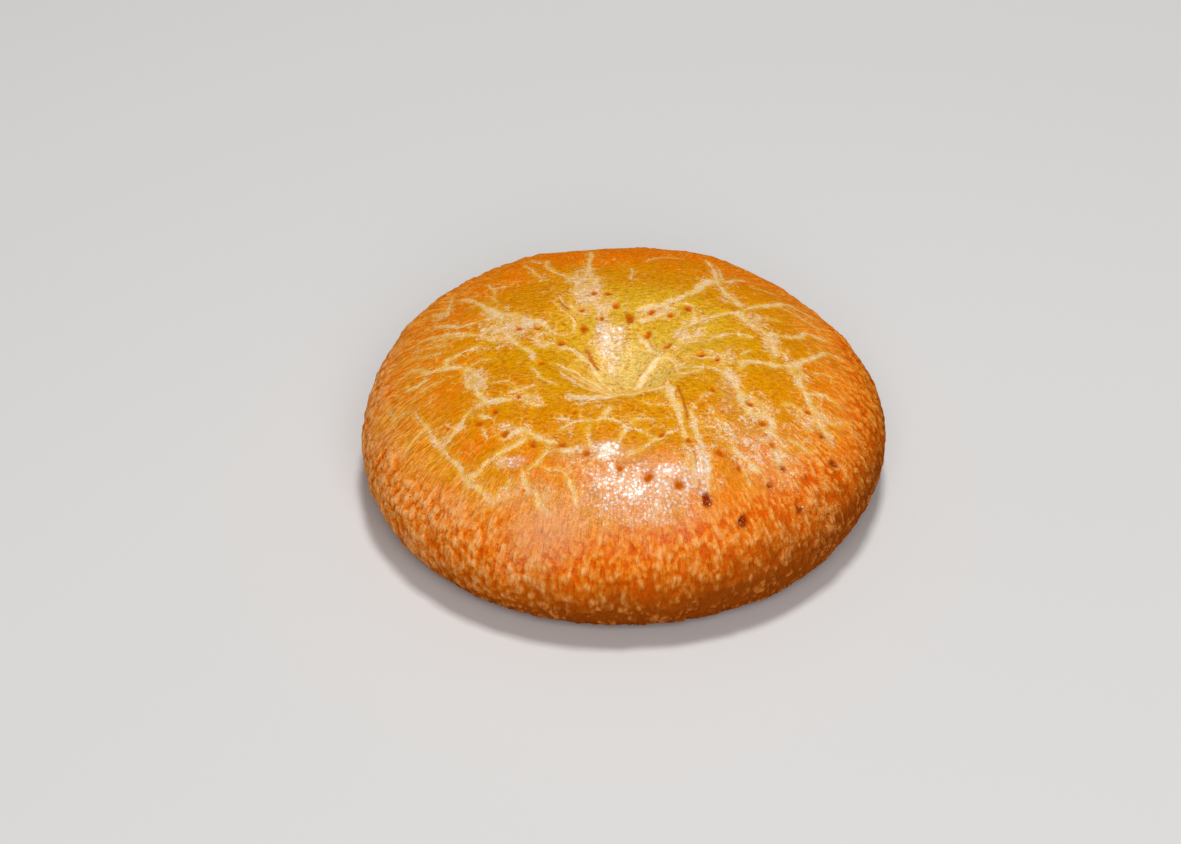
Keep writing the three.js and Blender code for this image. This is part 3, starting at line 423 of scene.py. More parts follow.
# The pace of knobs down the side against that round it, and on top of it that of longer marks
KNOB_STRETCH = 0.62
LONG_PACES = (0.5, 0.45, 0.3)  # the glaze's fine streaks and short dark dashes, and the shoulder's rills
BRUSH_STRETCH = 0.45  # the same across the middle, where the marks run from left to right
BRUSH_END = (24, 40)  # the radii between which they turn to run outwards

# Heights of what is too small to build
PORE_HEIGHT = 0.07
BUMPS = {"bead": 0.03, "rill": 0.08, "seed": 0.1, "streak": 0.03, "dash": 0.012}
SIDE_BUMPS = {"knob": 0.2, "fine": 0.06}

# How dark and how light the fine patterns make the skin, and how much of that the side shows
GRAIN_TONES, DASH_TONES, PORE_TONES = (0.87, 1.08), (0.85, 1.11), (0.9, 1.07)
SIDE_GRAIN = 0.4

# Where the colours lie: ways round the cake, places and distances
LOW_BROWN_SHADE_WAY = (1.0, -0.62, 0)  # where the low side is brownest, partly from baking and partly from painted shade
PAINTED_LIGHT_WAY = (-0.13, 0.06, 0)  # where painted light makes the side paler all over
PAINTED_LIGHT_ENDS, ENDS_GRIT = 0.1, 0.25  # how much paler painted light makes it at the left and right ends, and how much grittier it is there
PEACH_SIDE = (-0.4, -0.92, 0)  # where the blisters are palest
WARM_WAY = (0.003, 0.007, 0)  # the glaze is more orange this way
YELLOW_PLACE = (4, 5)  # the middle of the yellowest glaze
YELLOW_SHAPE = (0.82, 1, 0)  # how it counts distances along each axis
HOLLOW_PALE = (12.5, 4)  # how far out the hollow's floor starts to be pale, and is palest
HOLLOW_PAINTED_LIGHT = 0.34  # how much painted light brightens the hollow's steep walls, for the light they pass to and fro
LIP_PAINTED_LIGHT = 2  # the same for walls that face the back, on top of it

ROUGHNESS, HOLE_ROUGHNESS = 0.24, 0.3  # the second on top of the first
GLOSS, WET_GLOSS = 0.02, 0.9
GLOSS_WAY, GLOSS_SPAN = (0, -1, 0), (-4, 18)  # towards the front it shines more, between these places


def smoothstep(low, high, value):
    part = np.clip((value - low) / (high - low), 0, 1)
    return part * part * (3 - 2 * part)


def lattice_value(i, j, k):
    """A repeatable value from 0 to 1 at each point of a whole-number lattice."""
    mixed = np.sin(i * 127.1 + j * 311.7 + k * 74.7) * 43758.5453
    return mixed - np.floor(mixed)


def smooth_noise(x, y, z):
    """Smooth noise from -1 to 1."""
    i, j, k = np.floor(x), np.floor(y), np.floor(z)
    u, v, w = (part * part * (3 - 2 * part) for part in (x - i, y - j, z - k))
    total = 0
    for di in (0, 1):
        for dj in (0, 1):
            for dk in (0, 1):
                share = (u if di else 1 - u) * (v if dj else 1 - v) * (w if dk else 1 - w)
                total = total + share * lattice_value(i + di, j + dj, k + dk)
    return total * 2 - 1


def layered_noise(x, y, z, size, layers=3):
    """Noise from about -1 to 1 whose finer layers are each half as large and half as strong."""
    total = 0
    for layer in range(layers):
        step = size / 2**layer
        total = total + smooth_noise(x / step + 17 * layer, y / step, z / step) / 2**layer
    return total


def cell_pattern(u, v, around, seed):
    """Distance to the nearest cell's middle, and that cell's own random value.

    The cells wrap round in u after a whole number of them.
    """
    column, row = np.floor(u), np.floor(v)
    nearest = np.full(u.shape, np.inf)
    own = np.zeros(u.shape)
    for du in (-1, 0, 1):
        for dv in (-1, 0, 1):
            key = (column + du) % around
            middle_u = column + du + 0.5 + CELL_SCATTER * (lattice_value(key, row + dv, seed) - 0.5)
            middle_v = row + dv + 0.5 + CELL_SCATTER * (lattice_value(key, row + dv, seed + 1) - 0.5)
            distance = np.hypot(u - middle_u, v - middle_v)
            closer = distance < nearest
            own = np.where(closer, lattice_value(key, row + dv, seed + 2), own)
            nearest = np.where(closer, distance, nearest)
    return nearest, own


def turned(x, y, direction):
    """How far a place lies along a direction, and how far to the left of it."""
    cosine, sine = math.cos(math.radians(direction)), math.sin(math.radians(direction))
    return x * cosine + y * sine, y * cosine - x * sine


def outline_radius(angle):
    radius = RADIUS
    for waves, cosine, sine in OUTLINE_WAVES:
        radius = radius + cosine * np.cos(waves * angle) + sine * np.sin(waves * angle)
    return radius


def hollow_depth(x, y):
    warp_x = WALL_WARP * layered_noise(x, y, 0 * x, WALL_WARP_SIZE, 2)
    warp_y = WALL_WARP * layered_noise(x + 50, y, 0 * x, WALL_WARP_SIZE, 2)
    dx, dy = x + warp_x - HOLLOW_PLACE[0], y + warp_y - HOLLOW_PLACE[1]
    distance = np.hypot(dx, dy) + 1e-6
    right, back = dx / distance, dy / distance
    reach, power = (
        part["mean"] + part["right"] * right + part["back"] * back for part in (HOLLOW_REACH, HOLLOW_POWER)
    )
    depth = HOLLOW_DEPTH * np.exp(-((distance / reach) ** power))
    strength = distance / FOLD_PEAK * np.exp(1 - distance / FOLD_PEAK)
    for direction, height, half_width in FOLDS:
        along, aside = turned(dx, dy, direction)
        depth = depth - np.where(along > 0, height * strength * np.exp(-((aside / half_width) ** 2)), 0)
    turn = np.arctan2(dy, dx)
    crease = smooth_noise(CREASES * np.cos(turn), CREASES * np.sin(turn), distance / CREASE_LENGTH)
    return depth - CREASE_HEIGHT * strength * crease


def swell(x, y):
    height = 0
    for size, length, direction, shift in SWELLS:
        along = turned(x, y, direction)[0]
        height = height + size * np.sin(2 * math.pi * along / length + shift)
    return height


def dome_height(share):
    return WIDEST_LEVEL + DOME_RISE * np.maximum(0, 1 - share**DOME_POWER) ** (1 / DOME_POWER)


def top_height(x, y):
    share = np.minimum(1, np.hypot(x, y) / outline_radius(np.arctan2(y, x)))
    return dome_height(share) - hollow_depth(x, y) + swell(x, y)


def crust_profile():
    """The plain crust from the top's middle to the base's edge: share of the radius, height, distance
    passed, and the share of the mesh's cells that lies inside."""
    lowest = -math.asin(WIDEST_LEVEL / (WIDEST_LEVEL + BASE_TRIM))
    angle = np.linspace(math.pi / 2, lowest, PROFILE_STEPS)
    above = np.maximum(angle, 0)
    below = np.minimum(angle, 0)
    share = np.where(angle > 0, np.cos(above) ** (2 / DOME_POWER), 1 - TUCK / RADIUS * (1 - np.cos(below)))
    share[0] = 0
    tucked = WIDEST_LEVEL + (WIDEST_LEVEL + BASE_TRIM) * np.sin(below)
    height = np.where(angle > 0, dome_height(share), tucked)
    height[-1] = 0
    run = np.hypot(np.diff(share) * RADIUS, np.diff(height))
    middle = (share[1:] + share[:-1]) / 2
    density = 1 + (MIDDLE_DENSITY - 1) * np.exp(-((middle * RADIUS / MIDDLE_REACH) ** 2))
    passed = np.concatenate([[0], np.cumsum(run)])
    cells = np.concatenate([[0], np.cumsum(run * middle * density)])
    return share, height, passed, cells / cells[-1]


def wrapped_square():
    """The grid's corners as distance from the middle, 0 to 1, and direction, on a disc of equal cells."""
    line = np.linspace(-1, 1, GRID + 1)
    a, b = np.meshgrid(line, line, indexing="ij")
    wide = np.abs(a) >= np.abs(b)
    longer = np.where(wide, a, b)
    ratio = np.where(wide, b, a) / np.where(longer == 0, 1, longer)
    turn = np.where(wide, ratio * math.pi / 4, math.pi / 2 - ratio * math.pi / 4)
    angle = turn + np.where(longer < 0, math.pi, 0)
    return np.abs(longer).ravel(), np.arctan2(np.sin(angle), np.cos(angle)).ravel()


def grid_corners():
    return np.arange((GRID + 1) ** 2).reshape(GRID + 1, GRID + 1)


def rim_order():
    """The grid's outermost corners, in order round the rim, each once."""
    corner = grid_corners()
    return np.concatenate([corner[:-1, 0], corner[-1, :-1], corner[:0:-1, -1], corner[0, :0:-1]])[::-1]


def grid_faces():
    corner = grid_corners()
    four = (corner[:-1, :-1], corner[1:, :-1], corner[1:, 1:], corner[:-1, 1:])
    return np.stack([part.ravel() for part in four], 1)


def corner_normals(places, quads):
    faces = np.concatenate([quads[:, [0, 1, 2]], quads[:, [0, 2, 3]]])
    a, b, c = (places[faces[:, corner]] for corner in range(3))
    each = np.cross(b - a, c - a)
    total = np.zeros_like(places)
    for corner in range(3):
        for axis in range(3):
            total[:, axis] += np.bincount(faces[:, corner], each[:, axis], len(places))
    return total / np.maximum(np.linalg.norm(total, axis=1, keepdims=True), 1e-12)


def smooth_route(points):
    """A smooth route through points, in short steps."""
    points = np.array(points, float)
    padded = np.vstack([2 * points[0] - points[1], points, 2 * points[-1] - points[-2]])
    pieces = []
    for before, start, end, after in zip(padded, padded[1:], padded[2:], padded[3:]):
        count = max(2, int(np.hypot(*(end - start)) / LINE_STEP))
        part = np.linspace(0, 1, count, endpoint=False)[:, None]
        straight = (end - before) / 2 * part
        bend = (before - 2.5 * start + 2 * end - 0.5 * after) * part**2
        twist = (1.5 * (start - end) + 0.5 * (after - before)) * part**3
        pieces.append(start + straight + bend + twist)
    pieces.append(points[-1:])
    return np.vstack(pieces)


def stray(at, layer):
    """Smooth noise along x and y for a line, at each distance along it."""
    return np.stack([smooth_noise(at, 0 * at + row, 0 * at + layer) for row in (0, 5)], 1)


def wandering_line(number, half_width, points):
    """A line's uneven route and its half width all along."""
    route = smooth_route(points)
    passed = np.concatenate([[0], np.cumsum(np.hypot(*np.diff(route, axis=0).T))])
    at = passed / LINE_WANDER_LENGTH + LINE_SHIFT * number
    route = route + LINE_WANDER * stray(at, 0) + LINE_FINE_WANDER * LINE_WANDER * stray(3 * at, 7)
    from_tip = np.minimum(passed, passed[-1] - passed)
    taper = np.minimum(1, TIP_WIDTH + TIP_GROWTH * from_tip / (TIP_LENGTH * half_width))
    return route, half_width * taper * (1 + LINE_UNEVEN * smooth_noise(at * 1.3, 0 * at + 9, 0 * at))


def line_fields(x, y, lines):
    """The way to the nearest line's middle, how long it is, and the line's half width there."""
    nearest = np.full(x.shape, LINE_FIELD)
    edge = np.full(x.shape, LINE_FIELD)
    way = np.full((len(x), 2), LINE_FIELD)
    half = np.zeros(x.shape)
    for number, (half_width, *points) in enumerate(lines):
        route, width = wandering_line(number, half_width, points)
        low, high = route.min(0) - LINE_FIELD, route.max(0) + LINE_FIELD
        near = np.flatnonzero((x > low[0]) & (x < high[0]) & (y > low[1]) & (y < high[1]))
        to_x, to_y = route[:, 0] - x[near, None], route[:, 1] - y[near, None]
        gap = np.hypot(to_x, to_y) - width
        closest = gap.argmin(1)
        row = np.arange(len(near))
        closer = gap[row, closest] < edge[near]
        row, closest, near = row[closer], closest[closer], near[closer]
        edge[near] = gap[row, closest]
        way[near, 0], way[near, 1] = to_x[row, closest], to_y[row, closest]
        nearest[near] = np.hypot(*way[near].T)
        half[near] = width[closest]
    return np.column_stack([way, 0 * x]), nearest, half


def patch_strength(x, y, patches):
    total = np.zeros(x.shape)
    for middle_x, middle_y, reach_x, reach_y, strength in patches:
        far = ((x - middle_x) / reach_x) ** 2 + ((y - middle_y) / reach_y) ** 2
        total = np.maximum(total, strength * np.exp(-far))
    return total


def hole_fields(x, y):
    """Distance to the nearest docking hole's edge in hole radii, its sugar, and how deep the hole is."""
    edge = np.full(x.shape, HOLE_FIELD)
    depth = np.zeros(x.shape)
    sugar = np.zeros(x.shape)
    floor_power, edge_power = HOLE_SHAPE
    for number, (hole_x, hole_y, radius, amount) in enumerate(DOCKING_HOLES):
        dx, dy = x - hole_x, y - hole_y
        uneven = 1
        for waves, size, shift in HOLE_WAVES:
            uneven = uneven + size * np.sin(waves * np.arctan2(dy, dx) + number * shift)
        share = np.hypot(dx, dy) / (radius * uneven)
        depth = np.maximum(depth, HOLE_DEPTH * radius * np.clip(1 - share**floor_power, 0, 1) ** edge_power)
        sugar = np.maximum(sugar, amount * smoothstep(*SUGAR_SPAN, share))
        edge = np.minimum(edge, share - 1)
    return edge, sugar, depth


def blister_pattern(angle, passed, x, y, z):
    """The blisters of the side, from 0 between them to 1 on their tops."""
    around = round(2 * math.pi * RADIUS / BLISTER_WIDTH)
    u = angle / (2 * math.pi) * around + BLISTER_STRAY[0] * layered_noise(x, y, z, BLISTER_STRAY_SIZE)
    v = passed / BLISTER_LENGTH + BLISTER_STRAY[1] * layered_noise(x + 40, y, z, BLISTER_STRAY_SIZE)
    nearest, own = cell_pattern(u, v, around, 3)
    round_x, round_y = RADIUS * np.cos(angle), RADIUS * np.sin(angle)
    string = smooth_noise(round_x / STRING_WIDTH, round_y / STRING_WIDTH, passed / BLISTER_STRING)
    dome = np.clip(1 - (nearest / BLISTER_SIZE) ** 2, 0, 1) ** 0.8
    return np.clip(dome * (0.5 + 0.5 * own) + STRING_HEIGHT * string, 0, 1)


def plain_crust():
    """Each corner's place, direction and radius, the distance passed to it, and whether it is on the top."""
    share, height, passed, cells = crust_profile()
    from_middle, angle = wrapped_square()
    radius_share, level, reach = (np.interp(from_middle**2, cells, part) for part in (share, height, passed))
    on_top = reach <= passed[np.argmax(share)]
    radius = radius_share * outline_radius(angle)
    x, y = radius * np.cos(angle), radius * np.sin(angle)
    z = np.where(on_top, top_height(x, y), level + swell(x, y) * level / WIDEST_LEVEL)
    z[rim_order()] = 0
    return x, y, z, angle, radius, reach, on_top


def lumpy_places(x, y, z, radius, on_top):
    """The corners' places with the soft lumps of the shoulder and side."""
    start = np.where(on_top, smoothstep(*LUMP_SPAN, radius), 1)
    lump = LUMP_HEIGHT * start * smooth_noise(x / LUMP_SIZE, y / LUMP_SIZE, z / LUMP_SIZE)
    out = 1 + lump / RADIUS
    return np.stack([x * out, y * out, z + lump * z / DOME_RISE * LUMP_LIFT], 1)


def crust_fields(x, y, z, angle, radius, reach, on_top):
    """What lies where on the crust, for its relief and for its looks, and how deep its docking holes are."""
    wander = layered_noise(x, y, z, GLAZE_WANDER_LENGTH)
    line = radius + GLAZE_WANDER * wander - GLAZE_LEAN * np.sin(angle)
    line -= GLAZE_SLIP * np.clip(np.cos(angle - GLAZE_SLIP_WAY), 0, 1) ** 2
    fields = {"reach": reach, "base": np.zeros(len(x)), "blister": blister_pattern(angle, reach, x, y, z)}
    fields["side"] = np.where(on_top, smoothstep(*BLISTER_SPAN, line), 1)
    marked_x = x + np.where(on_top, 0, FAR_OFF)
    for name, lines in (("split", SPLITS), ("groove", GROOVES)):
        found = line_fields(marked_x, y, lines)
        fields[name + "_way"], fields[name + "_gap"], fields[name + "_half"] = found
    patches = {"pale": PALE_PATCHES, "crackle": CRACKLE_PATCHES, "wet": WET_PATCHES, "peach": PEACH_SHEEN_PATCHES}
    for name, places in patches.items():
        fields[name] = patch_strength(marked_x, y, places)
    fields["hole"], fields["sugar"], hole_depth = hole_fields(marked_x, y)
    return fields, hole_depth


def crust_relief(x, y, z, fields, hole_depth):
    """How far the fine relief moves each corner outwards."""
    glazed = 1 - fields["side"]
    split = fields["split_gap"] - fields["split_half"]
    rough_floor = SPLIT_ROUGHNESS * layered_noise(x, y, z, SPLIT_ROUGHNESS_SIZE, 2)
    relief = -(SPLIT_DEPTH + rough_floor) * smoothstep(*SPLIT_SLOPE, split)
    relief += PUFF_HEIGHT * smoothstep(0, PUFF_REACH, split) * glazed
    relief -= GROOVE_DEPTH * smoothstep(*GROOVE_SLOPE, fields["groove_gap"] - fields["groove_half"])
    bubbly = np.clip(BUBBLES_ANYWHERE + fields["pale"] + fields["crackle"], 0, 1)
    nearest, own = cell_pattern(x / BUBBLE_SIZE, y / BUBBLE_SIZE, 999, 5)
    relief += BUBBLE_HEIGHT * (smoothstep(*BUBBLE_SLOPE, nearest) * own) * bubbly * glazed
    relief += SKIN_ROUGHNESS * layered_noise(x, y, z, SKIN_ROUGHNESS_SIZE) * glazed
    relief += BLISTER_HEIGHT * fields["blister"] * (GLAZED_BLISTERS + (1 - GLAZED_BLISTERS) * fields["side"])
    return (relief - hole_depth) * smoothstep(0, FLAT_FOOT, z)


def make_crust():
    """The crust's corners in millimetres, its faces, and its fields for the looks."""
    x, y, z, angle, radius, reach, on_top = plain_crust()
    places = lumpy_places(x, y, z, radius, on_top)
    quads = grid_faces()
    normals = corner_normals(places, quads)
    fields, hole_depth = crust_fields(x, y, z, angle, radius, reach, on_top)
    # Steepness, for the painted light on the hollow's walls
    fields["steep"] = 1 - normals[:, 2] + LIP_PAINTED_LIGHT * np.clip(normals[:, 1], 0, 1)
    places = places + normals * crust_relief(x, y, z, fields, hole_depth)[:, None]
    places[:, 2] = np.maximum(places[:, 2], 0)
    places[rim_order(), 2] = 0
    return places, quads, fields


def add_base(places, quads, fields):
    """Closes the crust underneath with flat rings, each of half as many corners as the one outside it."""
    faces = [tuple(quad) for quad in quads.tolist()]
    outer = rim_order()
    rim = places[outer]
    corners = [places]
    made = len(places)
    centre = rim.mean(0)
    for ring in range(BASE_HALVINGS):
        shrink = 1 - RING_STEP * (ring + 1) / (1 + RING_CLOSING * ring)
        inner_places = centre + (rim[:: 2 ** (ring + 1)] - centre) * shrink
        inner_places[:, 2] = 0
        corners.append(inner_places)
        count = len(inner_places)
        inner = np.arange(made, made + count)
        made += count
        for k in range(count):
            o0, o1, o2 = outer[2 * k], outer[2 * k + 1], outer[(2 * k + 2) % len(outer)]
            i0, i1 = inner[k], inner[(k + 1) % count]
            faces += [(o0, i0, o1), (o1, i0, i1), (o1, i1, o2)]
        outer = inner
    corners.append(centre[None, :] * (1, 1, 0))
    for k in range(len(outer)):
        faces.append((outer[k], made, outer[(k + 1) % len(outer)]))
    extra = made + 1 - len(places)
    filled = {}
    for name, values in fields.items():
        rest = np.full((extra, *values.shape[1:]), BASE_FIELDS.get(name, 0.0))
        filled[name] = np.concatenate([values, rest])
    return np.vstack(corners), faces, filled


def link(piece):
    bpy.context.scene.collection.objects.link(piece)
    return piece


def add_map(mesh, places):
    """Lays the grid out as a square and the base as a disc in the free corner."""
    corner = np.empty(len(mesh.loops), np.int32)
    mesh.loops.foreach_get("vertex_index", corner)
    on_grid = np.arange(len(corner)) < 4 * GRID * GRID
    square = np.stack(np.divmod(corner, GRID + 1), 1) * MAP_SHARE / GRID
    disc = BASE_SPOT + BASE_SPREAD * places[corner, :2] / RADIUS
    spots = np.where(on_grid[:, None], square, disc)
    mesh.uv_layers.new(name="OFBake").data.foreach_set("uv", spots.astype(np.float32).ravel())


def build_piece():
    places, faces, fields = add_base(*make_crust())
    low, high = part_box("flatcake")
    middle = (places.min(0) + places.max(0)) / 2
    for axis in (0, 1):
        places[:, axis] += (low[axis] + high[axis]) / 2 / MM - middle[axis]
    mesh = bpy.data.meshes.new("crust")
    mesh.from_pydata((places * MM).tolist(), [], faces)
    mesh.polygons.foreach_set("use_smooth", [True] * len(mesh.polygons))
    for name, values in fields.items():
        kind, part = ("FLOAT", "value") if values.ndim == 1 else ("FLOAT_VECTOR", "vector")
        layer = mesh.attributes.new(name, kind, "POINT")
        layer.data.foreach_set(part, values.astype(np.float32).ravel())
    add_map(mesh, places)
    mesh.update()
    return link(bpy.data.objects.new("crust", mesh))


class Nodes:
    """Adds nodes to a material and gives back their outputs."""

    def __init__(self, material):
        material.use_nodes = True
        self.tree = material.node_tree
        self.tree.nodes.clear()

    def add(self, kind, inputs=None, **settings):
        node = self.tree.nodes.new(kind)
        for name, value in settings.items():
            setattr(node, name, value)
        for name, value in (inputs or {}).items():
            if isinstance(value, bpy.types.NodeSocket):
                self.tree.links.new(value, node.inputs[name])
            else:
                node.inputs[name].default_value = value
        return node

    def surface(self, inputs):
        shader = self.add("ShaderNodeBsdfPrincipled", inputs)
        self.add("ShaderNodeOutputMaterial", {"Surface": shader.outputs[0]})

    def field(self, name, part="Fac"):
        return self.add("ShaderNodeAttribute", attribute_name=name).outputs[part]

    def math(self, operation, *values):
        return self.add("ShaderNodeMath", dict(enumerate(values)), operation=operation).outputs[0]

    def times(self, first, second):
        return self.math("MULTIPLY", first, second)

    def most(self, first, second):
        return self.math("MAXIMUM", first, second)

    def total(self, *parts):
        """Adds up values, each given alone or with the factor that it counts by."""
        total = 0.0
        for part in parts:
            value, factor = part if isinstance(part, tuple) else (part, 1.0)
            total = self.math("MULTIPLY_ADD", value, factor, total)
        return total

    def vector(self, operation, first, second=(0, 0, 0), third=(0, 0, 0)):
        node = self.add("ShaderNodeVectorMath", {0: first, 1: second, 2: third}, operation=operation)
        return node.outputs["Value" if operation in ("LENGTH", "DOT_PRODUCT") else "Vector"]

    def scaled(self, vector, factor):
        return self.add("ShaderNodeVectorMath", {0: vector, "Scale": factor}, operation="SCALE").outputs[0]

    def length(self, vector):
        return self.vector("LENGTH", vector)

    def towards(self, vector, way):
        """How far a vector goes in a way."""
        return self.vector("DOT_PRODUCT", vector, way)

    def ramp(self, value, low, high, to_low=0.0, to_high=1.0):
        """Takes values between low and high smoothly to values between to_low and to_high."""
        inputs = {"Value": value, "From Min": low, "From Max": high, "To Min": to_low, "To Max": to_high}
        return self.add("ShaderNodeMapRange", inputs, interpolation_type="SMOOTHSTEP").outputs[0]

    def mix(self, share, first, second):
        return self.add("ShaderNodeMix", {0: share, 6: first, 7: second}, data_type="RGBA").outputs[2]

    def noise(self, vector, size, detail=2.0, roughness=0.5):
        inputs = {"Vector": vector, "Scale": 1 / size, "Detail": detail, "Roughness": roughness}
        return self.add("ShaderNodeTexNoise", inputs).outputs["Fac"]

    def crooked(self, vector, place, size, detail, strength):
        """The vector, pushed about by noise of a size."""
        inputs = {"Vector": place, "Scale": 1 / size, "Detail": detail}
        push = self.add("ShaderNodeTexNoise", inputs).outputs["Color"]
        return self.vector("MULTIPLY_ADD", push, (strength, strength, strength), vector)

    def cells(self, vector, size, feature="F1"):
        inputs = {"Vector": vector, "Scale": 1 / size}
        return self.add("ShaderNodeTexVoronoi", inputs, feature=feature).outputs["Distance"]


def colour(*screen):
    """A screen colour, 0 to 255, as the linear values that a shader takes."""
    parts = [part / 255 for part in screen]
    return (*(part / 12.92 if part <= 0.04045 else ((part + 0.055) / 1.055) ** 2.4 for part in parts), 1)


MIDDLE_YELLOW = colour(208, 162, 36)
AMBER_YELLOW = colour(208, 146, 4)
AMBER = colour(208, 130, 2)
AMBER_DEEP = colour(226, 112, 1)
FLECK = colour(194, 84, 2)
GROOVE_GLAZE_SHADE = colour(178, 88, 8)
MOTTLE = colour(220, 158, 14)
HONEY = colour(222, 168, 42)
NET = colour(234, 186, 88)
CREAM = colour(238, 216, 180)
CREAM_WARM = colour(232, 198, 126)
PAINTED_GLINT = colour(250, 236, 220)
BEAD_HIGHLIGHT = colour(224, 212, 208)
HIGHLIGHT_HAZE = colour(218, 180, 156)
SPECKLE = colour(208, 134, 30)
RILL = colour(244, 166, 52)
RILL_PALE = colour(244, 168, 68)
PEACH_SHEEN = colour(224, 156, 108)
HOLLOW_YELLOW = colour(212, 182, 98)
HOLLOW_CREAM = colour(236, 218, 176)
SIDE_DEEP = colour(212, 86, 4)
SIDE_MIDDLE = colour(226, 124, 22)
SIDE_TOP = colour(236, 166, 98)
FAR_TOP = colour(242, 158, 56)
LOW_DEEP_SHADED = colour(146, 66, 10)
LOW_TOP_SHADED = colour(202, 120, 50)
HOLE = colour(204, 106, 8)
HOLE_SHADE = colour(168, 66, 2)
SUGAR = colour(128, 26, 8)
BASE_TAN = colour(206, 150, 86)
BASE_BROWN = colour(160, 92, 36)

# The mesh's fields that the material reads as one number each
FIELDS = ["side", "blister", "pale", "crackle", "hole", "sugar", "wet", "peach", "reach", "base", "steep"]
FIELDS += ["split_half", "groove_half"]


def crust_patterns(n):
    """The places, fields and noises that the parts of the crust's material share."""
    p = SimpleNamespace()
    for name in FIELDS:
        setattr(p, name, n.field(name))
    p.mm = n.scaled(n.add("ShaderNodeTexCoord").outputs["Object"], 1 / MM)
    p.flat = n.vector("MULTIPLY", p.mm, (1, 1, 0))
    p.outward = n.vector("NORMALIZE", p.flat)

    # The crust unrolled: round the cake, and down its side at a slower pace, so that cells there stand tall
    level = n.add("ShaderNodeCombineXYZ", {"Z": n.times(p.reach, KNOB_STRETCH)}).outputs[0]
    p.unrolled = n.vector("MULTIPLY_ADD", p.outward, (RADIUS, RADIUS, 0), level)

    for name, settings in NOISES.items():
        setattr(p, name, n.noise(p.mm, *settings))
    p.grit = n.total((p.grain, 3.6), (p.fine, 2.6), -3.1)
    return p


def add_brushed_marks(n, p):
    """Fine streaks and dashes that run outwards from the middle and on down the side, and the long rills."""
    across = n.vector("MULTIPLY", p.mm, (BRUSH_STRETCH, 1, 1))
    streak, dash, rill = (n.vector("MULTIPLY", p.unrolled, (1, 1, pace)) for pace in LONG_PACES)
    outer = n.ramp(n.length(p.flat), *BRUSH_END)
    p.streak = n.ramp(outer, 0, 1, n.noise(across, *STREAK), n.noise(streak, *STREAK))
    p.dash = n.ramp(outer, 0, 1, n.noise(across, *MIDDLE_DASH), n.noise(dash, *DASH))
    rill = n.ramp(n.math("ABSOLUTE", n.total(n.noise(rill, RILL_SIZE, 2), -0.5)), 0.06, 0.0)
    rill = n.times(rill, n.ramp(n.total(p.reach, (p.blotch, 24), -7), 38, 50))
    p.rill = n.times(rill, n.ramp(p.reach, 62, 52))


def add_hollow(n, p):
    """How far the hollow is, and where its pale floor lies."""
    p.from_hollow = n.length(n.vector("SUBTRACT", p.flat, (*HOLLOW_PLACE, 0)))
    p.inward = n.ramp(n.total(p.from_hollow, (p.blotch, 10), (p.streak, 6), -8), *HOLLOW_PALE)


def distance_to(n, name):
    """The distance to the middle of the nearest split or groove."""
    return n.most(n.length(n.field(name + "_way", "Vector")), n.total(n.field(name + "_gap"), -0.4))


def add_splits(n, p):
    """Bare dough along the listed lines, with edges broken up into granules."""
    p.from_edge = n.total(distance_to(n, "split"), (p.split_half, -0.95), (p.blotch, 0.7), -0.33)
    strength = n.total(n.ramp(p.split_half, 0.05, 0.5, 0.0, 0.6), (p.blotch, 2.4), -1.05)
    line = n.ramp(n.total(p.from_edge, (p.grit, 0.66)), 0.16, -0.16)
    p.line = n.times(line, n.ramp(strength, -0.15, 0.35, 0.35, 1))
    p.halo = n.ramp(n.total(p.from_edge, (p.grit, 0.4)), 0.9, 0.0, 0, 0.5)
    torn = n.math("ABSOLUTE", n.total(p.from_edge, (p.grit, 0.1), -0.35))
    p.torn = n.times(n.ramp(torn, 0.2, 0.02), n.ramp(p.blotch, 0.42, 0.6, 0, 0.6))


def add_crackle(n, p):
    """Ragged bare dough, finer cracks and small round bubbles, in patches, and a net of hair cracks."""
    ragged = n.total((p.pale, 1.6), (p.grit, 0.25), (p.fine, 3.0), (p.blotch, 1.8), -3.15)
    bare = n.times(n.ramp(ragged, -0.3, 0.4), n.ramp(p.pale, 0.04, 0.25))
    bent = n.crooked(p.mm, p.mm, 1.6, 2, 1.1)
    reached = n.ramp(n.total(p.crackle, (p.blotch, 1.8), -0.9), 0.2, 0.8)
    vein = n.math("ABSOLUTE", n.total(n.noise(bent, VEIN_SIZE, 4, 0.62), -0.5))
    web = n.times(n.ramp(n.total(vein, (reached, -0.02)), 0.035, 0.0), n.ramp(reached, 0.1, 0.5, 0.05, 1))
    grains = n.total(p.crackle, (p.grit, 0.25), (p.fine, 3.0), (p.blotch, 1.4), -2.9)
    grains = n.times(n.ramp(grains, -0.2, 0.5, 0, 0.8), n.ramp(p.crackle, 0.05, 0.4))
    ring = n.math("ABSOLUTE", n.total(n.cells(p.mm, RING_SIZE), -0.36))
    ring = n.times(n.ramp(n.total(ring, (p.grit, 0.06)), 0.1, 0.0), n.ramp(reached, 0.3, 0.8))
    thin = n.times(n.most(web, n.times(ring, 0.6)), 0.8)
    p.dough = n.most(n.most(p.line, bare), n.most(thin, grains))

    net = n.cells(n.crooked(bent, p.mm, 0.9, 3, 1.3), NET_SIZE, "DISTANCE_TO_EDGE")
    near = n.ramp(p.from_edge, 2.4, 0.2, 0, 0.45)
    netted = n.total(near, (p.crackle, 0.35), (p.blotch, 2.6), (p.broad, 1.5), -1.98)
    p.net = n.times(n.ramp(n.total(net, (p.grit, 0.02)), 0.08, 0.0), n.ramp(netted, 0.0, 0.8))


